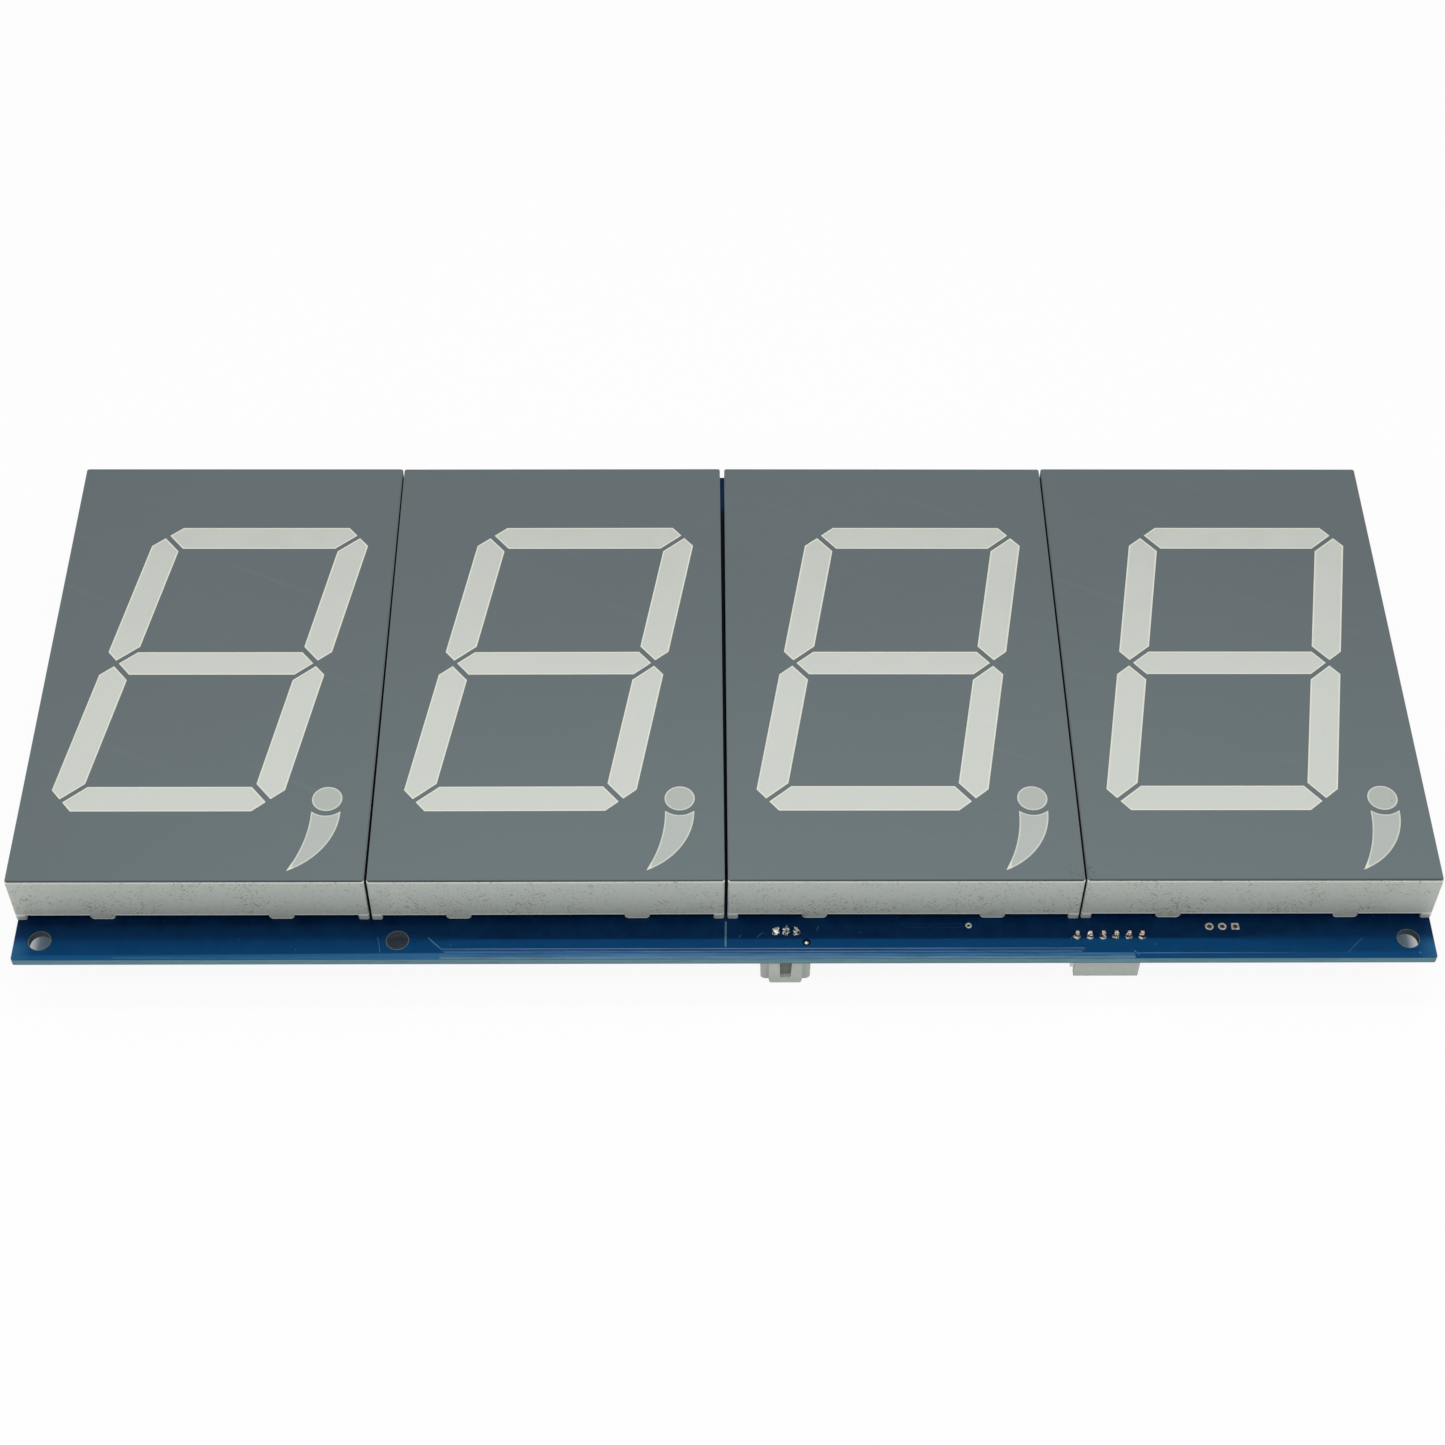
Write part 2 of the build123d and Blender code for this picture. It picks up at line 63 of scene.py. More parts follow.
# Places that the solids give
board_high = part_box("main_board")[1]
board_top = board_high.z
digit_boxes = [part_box(f"housing_{number}") for number in digits]
digit_middles = [(low.x + high.x) / 2 for low, high in digit_boxes]
rim_height = digit_boxes[0][1].z
floor_height = cad_box[0][2]

# One seed for the noise, so that the uneven joints come out the same in each run
noise.seed_set(3)

# The photograph's camera
camera_place = (-6.18 * mm, -349.87 * mm, 425.9 * mm)
camera_turn = (39.03, -0.45, -0.43)
camera_lens = 65.37
camera_sensor = 36.0

# The light: a pale room, a broad lamp in front and one high up behind the board
room_light = 0.38
front_lamp_place = (0.0, -0.20, 0.34)
front_lamp_size = (0.75, 0.25)
front_lamp_power = 0.62
rear_lamp_place = (0.0, 0.305, 0.95)
rear_lamp_size = (0.9, 0.1)
rear_lamp_power = 3.7

# What the photograph shows of the board's front strip, in millimetres
# The edge of the painted shadow that the housings cast on the front strip
painted_shadow_edge = -60.3
# Where the painted light along the front edge starts
painted_light_start = -63.75
band_ends = (-55.6, 79.6)
band_middle = -64.27
band_width = 1.32
line_places = (
    ((-58.1, -59.9), (-55.4, -62.55), (69.9, -62.55)),
    ((-54.7, -63.3), (69.3, -63.3)),
    ((79.5, -63.2), (80.4, -64.1)),
    ((80.0, -63.72), (121.4, -63.72)),
)
line_width = 0.22
edge_line = (((-119.0, -64.45), (-56.3, -64.45)),)
edge_line_width = 0.3
between_lines = -62.93
between_width = 0.5
buried_tracks = (
    ((33.2, -55.5), (35.2, -57.6), (46.3, -57.6)),
    ((34.8, -55.5), (36.1, -56.7), (46.4, -56.7)),
)
buried_width = 0.26
scratches = (
    ((6.05, -60.0), (6.6, -59.3), (7.3, -58.75)),
    ((2.55, -59.9), (2.95, -59.35)),
    ((17.75, -58.4), (18.15, -57.3)),
    ((-67.95, -59.8), (-67.55, -61.2), (-67.2, -63.4)),
    ((124.6, -60.35), (123.2, -61.6), (121.1, -63.85)),
)
scratch_width = 0.09
# A painted reflection of the bright gap between the second and third digits, on the lacquer
gap_reflection = (((0.0, -56.2), (-0.1, -62.1)),)
gap_reflection_width = 0.37
test_pad_place = (15.7, -61.1)
test_bead_shift = -0.22

# The plated holes that are left open, and the fixing holes
open_pads = ((94.86, -57.5), (97.4, -57.5), (99.94, -57.5))
lone_pad = (47.6, -57.2)
open_pad_radii = (0.85, 0.46)
lone_pad_radii = (0.65, 0.27)
hole_radius = 2.15
hole_from_end = 5.0
hole_from_side = 4.5
middle_hole_x = -64.0

# The rows of parts on the board's rear, measured from each digit's middle
driver_middle_y = 10.0
driver_size = (12.8, 7.5)
driver_pads_y = (4.8, 15.2)
driver_ways = 10
driver_pitch = 1.27
resistor_ways = 8
resistor_pitch = 3.4
resistor_pads_y = (-6.4, -9.6)
pin_rows_y = (-50.8, 50.8)
pin_ways = 6
pin_pitch = 2.54
can_middle_y = 36.0
can_radius = 4.0
rail_from_edge = 8.5
rail_past_digits = 28.0

# The housings' lower edge: the wall, and the tabs that hang from it
wall_low = 3.1
tab_low = board_top / mm + 0.25
tab_spacing = 34.9
tab_half = 2.45

# The ways in which the scuffs on the housings lie, in degrees
scuff_turns = ((20, 38, 5), (25, 52, -5), (-15, -48, 8), (70, 65, -8), (30, 20, -12), (-60, 44, 12))

# Where each digit's dot and tail lie: X from its middle, Y on the board
comma_start_x = 20.5
comma_top_y = -31.0
tail_top_y = -38.5

# The moulded rim that fills each window's edge round its light bar
window_rim_out = 0.235
window_rim_width = 0.31
window_rim_rise = 0.17

# The film's one scuffed corner, and the slot in the lip of the three-way header
scuffed_corner = (68.9, -54.0)
slot_half_width = 1.35
lip_depth = 1.0


def add_camera():
    """The camera where the photograph was taken from."""
    camera = bpy.data.objects.new("camera", bpy.data.cameras.new("camera"))
    camera.data.lens = camera_lens
    camera.data.sensor_width = camera_sensor
    camera.data.clip_start = 1 * mm
    camera.location = camera_place
    camera.rotation_euler = [radians(turn) for turn in camera_turn]
    bpy.context.collection.objects.link(camera)
    bpy.context.scene.camera = camera


def add_lamp(name, place, size, power, aim=(0, 0, 0)):
    """A soft rectangular lamp that faces the point aim."""
    lamp = bpy.data.objects.new(name, bpy.data.lights.new(name, "AREA"))
    lamp.data.shape = "RECTANGLE"
    lamp.data.size, lamp.data.size_y = size
    lamp.data.energy = power
    lamp.location = place
    lamp.visible_camera = False
    lamp.rotation_euler = (Vector(aim) - Vector(place)).to_track_quat("-Z", "Y").to_euler()
    bpy.context.collection.objects.link(lamp)


def add_node(tree, kind, inputs=None, **settings):
    """A shader node whose inputs are set to values or joined to other nodes' sockets."""
    node = tree.nodes.new(kind)
    for name, value in settings.items():
        setattr(node, name, value)
    for name, value in (inputs or {}).items():
        if isinstance(value, bpy.types.NodeSocket):
            tree.links.new(value, node.inputs[name])
        else:
            node.inputs[name].default_value = value
    return node


def seen_directly(tree):
    """One where a ray comes from the camera, a reflection or through something clear."""
    path = add_node(tree, "ShaderNodeLightPath")
    kinds = ("Camera", "Glossy", "Transmission")
    return either(tree, *[path.outputs[f"Is {kind} Ray"] for kind in kinds])


def calculate(tree, operation, first, second=0.0, third=0.0):
    """One sum on one, two or three values."""
    values = {0: first, 1: second, 2: third}
    return add_node(tree, "ShaderNodeMath", values, operation=operation).outputs[0]


def spread(tree, value, low, high, at_low=0.0, at_high=1.0):
    """The value's range from low to high as a range from at_low to at_high, and no further."""
    inputs = {"Value": value, "From Min": low, "From Max": high, "To Min": at_low, "To Max": at_high}
    return add_node(tree, "ShaderNodeMapRange", inputs).outputs[0]


def blend(tree, share, first, second):
    """The first colour, turned into the second by a share from 0 to 1."""
    inputs = {0: share, 6: with_alpha(first), 7: with_alpha(second)}
    return add_node(tree, "ShaderNodeMix", inputs, data_type="RGBA").outputs[2]


def with_alpha(colour):
    """A plain colour with full alpha. A socket stays as it is."""
    return (*colour, 1) if isinstance(colour, tuple) else colour


def lay_over(tree, colour, *layers):
    """The colour with others laid over it in turn, each by its share."""
    for share, other in layers:
        colour = blend(tree, share, colour, other)
    return colour


def place_in_mm(tree, turn=(0, 0, 0), stretch=(1, 1, 1)):
    """The point on the object in millimetres, turned and stretched for a pattern."""
    coordinates = add_node(tree, "ShaderNodeTexCoord")
    place = add_node(tree, "ShaderNodeMapping", {
        "Vector": coordinates.outputs["Object"], "Scale": (1 / mm, 1 / mm, 1 / mm)}).outputs[0]
    if turn == (0, 0, 0) and stretch == (1, 1, 1):
        return place
    turned_place = add_node(tree, "ShaderNodeMapping", {
        "Vector": place, "Rotation": [radians(part) for part in turn]}).outputs[0]
    return add_node(tree, "ShaderNodeMapping", {"Vector": turned_place, "Scale": stretch}).outputs[0]


def split(tree, vector):
    """The three parts of a place or a direction."""
    return add_node(tree, "ShaderNodeSeparateXYZ", {"Vector": vector}).outputs


def distance_from(tree, value, middle):
    """How far a value is from a middle, either way."""
    return calculate(tree, "ABSOLUTE", calculate(tree, "SUBTRACT", value, middle))


def within(tree, value, middle, reach):
    """One where a value is less than reach away from a middle."""
    return calculate(tree, "LESS_THAN", distance_from(tree, value, middle), reach)


def softly_within(tree, value, middle, reach, softness):
    """One within reach of a middle, and less over the softness beyond it."""
    away = distance_from(tree, value, middle)
    return spread(tree, away, reach, reach + softness, 1.0, 0.0)


def either(tree, *shares):
    """The greatest of some shares."""
    whole = shares[0]
    for share in shares[1:]:
        whole = calculate(tree, "MAXIMUM", whole, share)
    return whole


def overlap(tree, *shares):
    """One where every share is one."""
    whole = shares[0]
    for share in shares[1:]:
        whole = calculate(tree, "MULTIPLY", whole, share)
    return whole


def clouds(tree, place, per_mm, detail=3.0, roughness=0.5):
    """Soft noise with so many clouds to a millimetre."""
    inputs = {"Vector": place, "Scale": per_mm, "Detail": detail, "Roughness": roughness}
    return add_node(tree, "ShaderNodeTexNoise", inputs).outputs[0]


def mottle(tree, place, per_mm, detail=3.0, roughness=0.5, at_low=0.0, at_high=1.0):
    """Soft noise spread over the whole range from at_low to at_high."""
    noise_value = clouds(tree, place, per_mm, detail, roughness)
    return spread(tree, noise_value, 0.3, 0.7, at_low, at_high)


def specks(tree, place, per_mm, radius, share):
    """Scattered round specks: one cell in so many holds one, of that radius in millimetres."""
    cells = add_node(tree, "ShaderNodeTexVoronoi", {"Vector": place, "Scale": per_mm})
    chosen = add_node(tree, "ShaderNodeSeparateColor", {"Color": cells.outputs["Color"]})
    edge = radius * per_mm
    dot = spread(tree, cells.outputs["Distance"], edge * 0.6, edge, 1.0, 0.0)
    held = calculate(tree, "LESS_THAN", chosen.outputs[0], share)
    strength = spread(tree, chosen.outputs[1], 0.0, 1.0, 0.35, 1.0)
    return overlap(tree, dot, held, strength)


def new_finish(name, colour, roughness, **sockets):
    """A material with one shader, which takes the values that are the same all over."""
    material = bpy.data.materials.new(name)
    material.use_nodes = True
    shader = material.node_tree.nodes["Principled BSDF"]
    shader.inputs["Base Color"].default_value = (*colour, 1)
    shader.inputs["Roughness"].default_value = roughness
    for socket, value in sockets.items():
        shader.inputs[socket.replace("_", " ")].default_value = value
    return material, material.node_tree, shader


def set_relief(tree, shader, height, depth, strength=1.0):
    """Fine relief on the surface, depth metres from the lowest to the highest."""
    inputs = {"Height": height, "Distance": depth, "Strength": strength}
    relief = add_node(tree, "ShaderNodeBump", inputs)
    tree.links.new(relief.outputs[0], shader.inputs["Normal"])


def join(tree, value, shader, socket):
    """Lead a pattern to one of the shader's sockets."""
    tree.links.new(value, shader.inputs[socket])


def housing_finish():
    """Off-white moulded plastic marked by handling, with painted highlights along its top and lower
    edges and painted light on the upper walls.
    """
    white = (0.570, 0.610, 0.550)
    material, tree, shader = new_finish("housing_plastic", white, 0.42)
    place = place_in_mm(tree)
    height = split(tree, place)[2]
    upright = cut_edge(tree)
    # Painted highlight along the top edge round the film
    rim = spread(tree, height, rim_height / mm - 0.45, rim_height / mm - 0.30)
    colour = lay_over(
        tree, (0.550, 0.585, 0.530),
        (mottle(tree, place, 0.25, 4.0), white),
        # Painted light: the walls are painted lighter towards the top
        (spread(tree, height, 3.0, 12.0), (0.620, 0.665, 0.600)),
        (rim, (0.80, 0.84, 0.76)),
        (housing_marks(tree, place, height), (0.09, 0.095, 0.085)),
        # Painted highlight along the lower edges of the walls and tabs
        (overlap(tree, upright, lower_edge_highlight(tree, place)), (0.90, 0.93, 0.87)),
        # On the side and back rims the painted highlight gives way to the film's colour
        (overlap(tree, rim, beside_a_digit_edge(tree, place)), (0.135, 0.165, 0.172)),
        (overlap(tree, upright, in_a_gap(tree, place)), (0.045, 0.055, 0.053)))
    join(tree, colour, shader, "Base Color")
    join(tree, mottle(tree, place, 1.3, 4.0, at_low=0.36, at_high=0.5), shader, "Roughness")
    set_relief(tree, shader, clouds(tree, place, 6.0, 4.0, 0.6), 0.012 * mm, 0.6)
    return material


def housing_marks(tree, place, height):
    """Fine specks and short scuffs, denser low down and in worn patches, and a few dark spots."""
    marks = either(tree, specks(tree, place, 1.0, 0.22, 0.40), specks(tree, place, 1.8, 0.15, 0.40))
    for turn in scuff_turns:
        scuffed = place_in_mm(tree, turn, (0.24, 1.7, 1.7))
        marks = either(tree, marks, specks(tree, scuffed, 0.95, 0.24, 0.55))
    worn = spread(tree, clouds(tree, place, 0.09, 2.0), 0.42, 0.58, 0.30, 1.0)
    lower = spread(tree, height, 4.0, 12.5, 1.0, 0.60)
    spots = specks(tree, place, 0.14, 0.26, 0.30)
    return either(tree, overlap(tree, marks, worn, lower), spots)


def lower_edge_highlight(tree, place):
    """A painted highlight: one along the wall's lower edge, between the tabs, and along the tabs' own
    lower edges.
    """
    parts = split(tree, place)
    across, height = parts[0], parts[2]
    over_tab = 0.0
    for middle in digit_middles:
        for side in (-1, 1):
            tab_middle = middle / mm + side * tab_spacing / 2
            over_tab = either(tree, over_tab, softly_within(tree, across, tab_middle, tab_half, 0.10))
    outside = calculate(tree, "SUBTRACT", 1.0, over_tab)
    wall_line = overlap(tree, softly_within(tree, height, wall_low, 0.28, 0.12), outside)
    tab_line = overlap(tree, softly_within(tree, height, tab_low, 0.24, 0.10), over_tab)
    return either(tree, wall_line, tab_line)


def beside_a_digit_edge(tree, place):
    """One on a digit's two side rims and its back rim, where the painted highlight gives way to the
    film's colour.
    """
    across, along = split(tree, place)[:2]
    low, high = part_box("housing_1")
    rim_width = 0.6
    beside = calculate(tree, "GREATER_THAN", along, high.y / mm - rim_width)
    for box in digit_boxes:
        for edge in box:
            beside = either(tree, beside, within(tree, across, edge.x / mm, rim_width))
    return overlap(tree, beside, calculate(tree, "GREATER_THAN", along, low.y / mm + 0.5))


def in_a_gap(tree, place):
    """One on the two walls of each narrow gap between digits, which no light reaches."""
    across, along = split(tree, place)[:2]
    inside = within(tree, across, 0.0, 0.75)
    for near, far in zip(digit_boxes, digit_boxes[1:]):
        inside = either(tree, inside, within(tree, across, (near[1].x + far[0].x) / 2 / mm, 0.50))
    behind_front = calculate(tree, "GREATER_THAN", along, digit_boxes[0][0].y / mm + 0.6)
    return overlap(tree, inside, behind_front)


def film_finish():
    """Satin slate-grey film with a fine grain, painted lighter in front as painted light, a little
    wiped, smudged and dusty.
    """
    material, tree, shader = new_finish(
        "face_film", (0.111, 0.140, 0.149), 0.5, Specular_IOR_Level=0.25)
    place = place_in_mm(tree)
    across, along = split(tree, place)[:2]
    broad = spread(tree, clouds(tree, place, 0.018, 2.0), 0.35, 0.65, 0.0, 0.45)
    # Painted light: the film is painted lighter towards the front, less so at the left
    less_at_left = spread(tree, across, -139.0, -50.0, 0.35, 1.0)
    paler = overlap(tree, spread(tree, along, 25.0, -55.0), less_at_left)
    wiped = place_in_mm(tree, (0, 0, 25), (0.05, 1.1, 1.0))
    wiping = spread(tree, clouds(tree, wiped, 0.5, 2.0), 0.62, 0.8, 0.0, 0.10)
    smudges = specks(tree, place_in_mm(tree, stretch=(0.6, 1.6, 1.0)), 0.045, 1.6, 0.14)
    dust = specks(tree, place, 0.09, 0.22, 0.10)
    front_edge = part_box("face_film_1")[0].y / mm
    edge = spread(tree, along, front_edge + 0.18, front_edge + 0.40, 0.75, 0.0)
    colour = lay_over(
        tree, (0.105, 0.133, 0.142),
        (mottle(tree, place, 3.5, 3.0, 0.7), (0.116, 0.146, 0.155)),
        (broad, (0.119, 0.150, 0.157)),
        (paler, (0.132, 0.167, 0.178)),
        (wiping, (0.20, 0.23, 0.235)),
        (overlap(tree, smudges, 0.22), (0.26, 0.30, 0.30)),
        (overlap(tree, dust, 0.35), (0.45, 0.47, 0.45)),
        (corner_scuffs(tree, across, along), (0.035, 0.042, 0.042)),
        (either(tree, edge, cut_edge(tree)), (0.025, 0.030, 0.032)))
    join(tree, colour, shader, "Base Color")
    join(tree, spread(tree, wiping, 0.0, 0.10, 0.50, 0.42), shader, "Roughness")
    set_relief(tree, shader, clouds(tree, place, 9.0, 3.0, 0.6), 0.006 * mm, 0.5)
    return material


def corner_scuffs(tree, across, along):
    """Short dark scuffs at the one corner of the film that has been knocked."""
    scuffed_x, scuffed_y = scuffed_corner
    away = either(tree, distance_from(tree, across, scuffed_x), distance_from(tree, along, scuffed_y))
    scuffed = place_in_mm(tree, (0, 0, 35), (0.5, 1.4, 1.0))
    return overlap(tree, spread(tree, away, 0.8, 3.0, 0.8, 0.0), specks(tree, scuffed, 1.6, 0.3, 0.7))


def light_bar_finish(number, middle):
    """Milky cast resin, painted lighter towards the front, with painted shade in the narrow wells of
    the comma.
    """
    material, tree, shader = new_finish(
        f"light_bar_resin_{number}", (0.56, 0.59, 0.54), 0.38,
        Subsurface_Weight=0.12, Subsurface_Scale=0.8 * mm)
    place = place_in_mm(tree)
    comma, tail = comma_shares(tree, place, middle)
    colour = lay_over(
        tree, (0.545, 0.570, 0.525),
        (mottle(tree, place, 0.12), (0.575, 0.600, 0.555)),
        # Painted light: the bars are painted lighter towards the front
        (spread(tree, split(tree, place)[1], 35.0, -10.0), (0.610, 0.640, 0.590)),
        # Painted shade in the narrow wells of the dot and the tail
        (comma, (0.43, 0.465, 0.425)),
        (tail, (0.445, 0.480, 0.450)),
        (specks(tree, place, 0.16, 0.20, 0.10), (0.06, 0.06, 0.055)))
    join(tree, colour, shader, "Base Color")
    set_relief(tree, shader, clouds(tree, place, 2.5, 3.0, 0.6), 0.01 * mm, 0.5)
    return material


def comma_shares(tree, place, middle):
    """One over a digit's dot and tail, and one over the tail alone."""
    across, along = split(tree, place)[:2]
    beside = calculate(tree, "GREATER_THAN", across, middle / mm + comma_start_x)
    comma = overlap(tree, beside, calculate(tree, "LESS_THAN", along, comma_top_y))
    tail = overlap(tree, comma, calculate(tree, "LESS_THAN", along, tail_top_y))
    return comma, tail


def window_rim_finish(number, middle):
    """Moulded edge, painted brighter than the housing as a highlight, and duller round the dot and the
    tail as painted shade.
    """
    bright = (0.79, 0.79, 0.68)
    material, tree, shader = new_finish(f"window_rim_{number}", bright, 0.4)
    place = place_in_mm(tree)
    comma = comma_shares(tree, place, middle)[0]
    # Painted highlight: the rim is brighter than the housing's plastic
    colour = blend(tree, mottle(tree, place, 0.5), (0.74, 0.74, 0.64), bright)
    # Painted shade round the dot and the tail
    colour = blend(tree, comma, colour, (0.62, 0.635, 0.565))
    join(tree, colour, shader, "Base Color")
    return material


def lacquer_finish():
    """Glossy blue lacquer with a little dust, and the laminate on the cut edges, with a painted shadow
    of the housings and painted light along the front edge.
    """
    # The base blue is painted dark: near the housings it is their painted shadow
    bare = (0.0008, 0.0165, 0.062)
    material, tree, shader = new_finish("board_lacquer", bare, 0.1, Specular_IOR_Level=0.045)
    place = place_in_mm(tree)
    across, along = split(tree, place)[:2]
    below_housings = spread(tree, along, -57.5, -56.6)
    shade = overlap(tree, below_housings, spread(tree, across, -70.0, -10.0, 0.7, 0.2))
    painted_light_at_ends = spread(tree, distance_from(tree, across, 0.0), 134.5, 138.2)
    dust = either(tree, specks(tree, place, 0.40, 0.15, 0.16), specks(tree, place, 0.8, 0.08, 0.10))
    colour = lay_over(
        tree, bare,
        # Painted shadow: in front of its edge the lacquer takes the lit blue
        (beyond_painted_shadow(tree, across, along), (0.0020, 0.0435, 0.133)),
        (shade, (0.0005, 0.0080, 0.030)),
        # Painted light along the front edge
        front_strip_painted_light(tree, across, along),
        # Painted light at both ends of the front strip
        (overlap(tree, painted_light_at_ends, spread(tree, along, -59.5, -62.0)), (0.018, 0.110, 0.240)),
        (mottle(tree, place, 0.35, 4.0, at_high=0.14), (0.006, 0.075, 0.20)),
        (overlap(tree, dust, 0.65), (0.35, 0.45, 0.50)),
        (cut_edge(tree), laminate_colour(tree)))
    join(tree, colour, shader, "Base Color")
    join(tree, calculate(tree, "MULTIPLY_ADD", cut_edge(tree), 0.5, 0.1), shader, "Roughness")
    set_relief(tree, shader, clouds(tree, place, 0.8, 3.0), 0.004 * mm, 0.5)
    return material


def beyond_painted_shadow(tree, across, along):
    """One in front of the painted shadow of the housings, whose edge is sharp in the middle and melts
    away towards both ends.
    """
    at_left = spread(tree, across, -75.0, -48.0, 3.2, 0.2)
    at_right = spread(tree, across, 98.0, 116.0, 0.2, 3.2)
    past = calculate(tree, "SUBTRACT", painted_shadow_edge, along)
    softened = calculate(tree, "DIVIDE", past, either(tree, at_left, at_right))
    return spread(tree, softened, -1.0, 1.0)


def front_strip_painted_light(tree, across, along):
    """The share and the colour of the painted light on the strip along the board's front edge."""
    start = spread(tree, across, -120.0, -58.0, painted_light_start, painted_light_start + 0.4)
    share = spread(tree, calculate(tree, "SUBTRACT", start, along), 0.0, 0.35)
    colour = lay_over(
        tree, (0.005, 0.078, 0.195),
        (spread(tree, across, -120.0, -58.0), (0.027, 0.122, 0.258)),
        (spread(tree, across, -50.0, 80.0), (0.002, 0.056, 0.168)))
    return share, colour


def cut_edge(tree):
    """One on faces that stand upright, such as sawn edges and bores."""
    upright = split(tree, add_node(tree, "ShaderNodeTexCoord").outputs["Normal"])[2]
    return within(tree, upright, 0.0, 0.5)


def laminate_colour(tree):
    """Pale glass laminate with its layers, painted shade in the drilled holes, and a thin lacquer skin.
    """
    across, along, height = split(tree, place_in_mm(tree))
    layers = mottle(tree, place_in_mm(tree, stretch=(0.2, 0.2, 6)), 1.5)
    skin = spread(tree, distance_from(tree, height, board_top / mm / 2), 0.66, 0.74)
    inside_x = within(tree, across, 0.0, board_high.x / mm - 1.0)
    inside_y = within(tree, along, 0.0, board_high.y / mm - 1.0)
    return lay_over(
        tree, (0.118, 0.237, 0.285),
        (layers, (0.195, 0.360, 0.415)),
        (skin, (0.04, 0.15, 0.25)),
        # Painted shade inside the drilled holes
        (overlap(tree, inside_x, inside_y), (0.048, 0.062, 0.072)))


def track_finish(name, colour, changes=()):
    """Blue lacquer over a copper track, also used for the scratches and the painted reflection below
    the gap. Each change names a measure, its range and a colour.
    """
    material, tree, shader = new_finish(name, colour, 0.14, Specular_IOR_Level=0.08)
    place = place_in_mm(tree)
    across, along = split(tree, place)[:2]
    measures = {"along": along, "across": across, "from_middle": distance_from(tree, across, 0.0)}
    for measure, start, end, other in changes:
        colour = blend(tree, spread(tree, measures[measure], start, end), colour, other)
    streaks = clouds(tree, place_in_mm(tree, stretch=(0.07, 1.4, 1)), 1.6, 4.0, 0.6)
    darkening = spread(tree, streaks, 0.35, 0.65, 0.34, 0.0)
    join(tree, blend(tree, darkening, colour, (0.0, 0.0, 0.0)), shader, "Base Color")
    set_relief(tree, shader, clouds(tree, place, 2.0, 3.0), 0.006 * mm, 0.5)
    return material


def nylon_finish():
    """Natural white nylon with a few scuffs, shaded at the back of the lip's slot."""
    material, tree, shader = new_finish("header_nylon", (0.58, 0.61, 0.56), 0.45)
    place = place_in_mm(tree)
    across, along, height = split(tree, place)
    low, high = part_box("power_header_shroud")
    slot_back = overlap(
        tree,
        within(tree, across, (low.x + high.x) / 2 / mm, slot_half_width),
        within(tree, along, low.y / mm + lip_depth, 0.05))
    shade = blend(tree, spread(tree, height, -7.0, -2.5), (0.26, 0.28, 0.235), (0.075, 0.085, 0.07))
    colour = lay_over(
        tree, (0.55, 0.585, 0.54),
        (mottle(tree, place, 0.4), (0.60, 0.63, 0.575)),
        (slot_back, shade),
        (overlap(tree, specks(tree, place, 0.9, 0.12, 0.4), 0.6), (0.25, 0.25, 0.22)))
    join(tree, colour, shader, "Base Color")
    set_relief(tree, shader, clouds(tree, place, 5.0, 3.0), 0.01 * mm, 0.6)
    return material


def tinned_finish(name, copper_above=None):
    """Tinned metal. The pins' cut tips show the copper alloy under the tin."""
    tin = (0.62, 0.60, 0.56)
    material, tree, shader = new_finish(name, tin, 0.3, Metallic=1.0)
    place = place_in_mm(tree)
    colour = blend(tree, mottle(tree, place, 2.0, 4.0), (0.52, 0.50, 0.46), tin)
    if copper_above is not None:
        tip = calculate(tree, "GREATER_THAN", split(tree, place)[2], copper_above / mm)
        colour = blend(tree, tip, colour, (0.62, 0.44, 0.33))
    join(tree, colour, shader, "Base Color")
    join(tree, mottle(tree, place, 4.0, at_low=0.22, at_high=0.42), shader, "Roughness")
    return material


def solder_finish():
    """Solder with bright patches, dark patches that are painted shade, and brown traces of flux."""
    material, tree, shader = new_finish("solder", (0.52, 0.54, 0.54), 0.25, Metallic=1.0)
    place = place_in_mm(tree)
    bright = spread(tree, clouds(tree, place, 1.9, 4.0, 0.7), 0.43, 0.56)
    flux = spread(tree, clouds(tree, place, 1.1, 3.0), 0.55, 0.72, 0.0, 0.55)
    # Painted shade: the near-black patches stand in for the shadows in the rough joints
    colour = blend(tree, bright, (0.035, 0.045, 0.048), (0.78, 0.79, 0.75))
    colour = blend(tree, flux, colour, (0.32, 0.24, 0.15))
    join(tree, colour, shader, "Base Color")
    join(tree, mottle(tree, place, 2.2, 4.0, at_low=0.12, at_high=0.40), shader, "Roughness")
    set_relief(tree, shader, clouds(tree, place, 2.4, 4.0), 0.16 * mm, 1.0)
    return material


def plating_finish():
    """Cream-tinned plating whose drilled inside is painted dark as shade."""
    material, tree, shader = new_finish("plating", (0.62, 0.59, 0.50), 0.4, Metallic=0.35)
    place = place_in_mm(tree)
    tone = spread(tree, clouds(tree, place, 2.4, 4.0), 0.35, 0.65)
    inside = softly_within(tree, split(tree, place)[2], board_top / mm / 2, 0.76, 0.04)
    colour = blend(tree, tone, (0.34, 0.32, 0.26), (0.70, 0.67, 0.58))
    # Painted shade inside the bore
    colour = blend(tree, inside, colour, (0.016, 0.022, 0.022))
    join(tree, colour, shader, "Base Color")
    join(tree, mottle(tree, place, 4.0, at_low=0.3, at_high=0.5), shader, "Roughness")
    return material


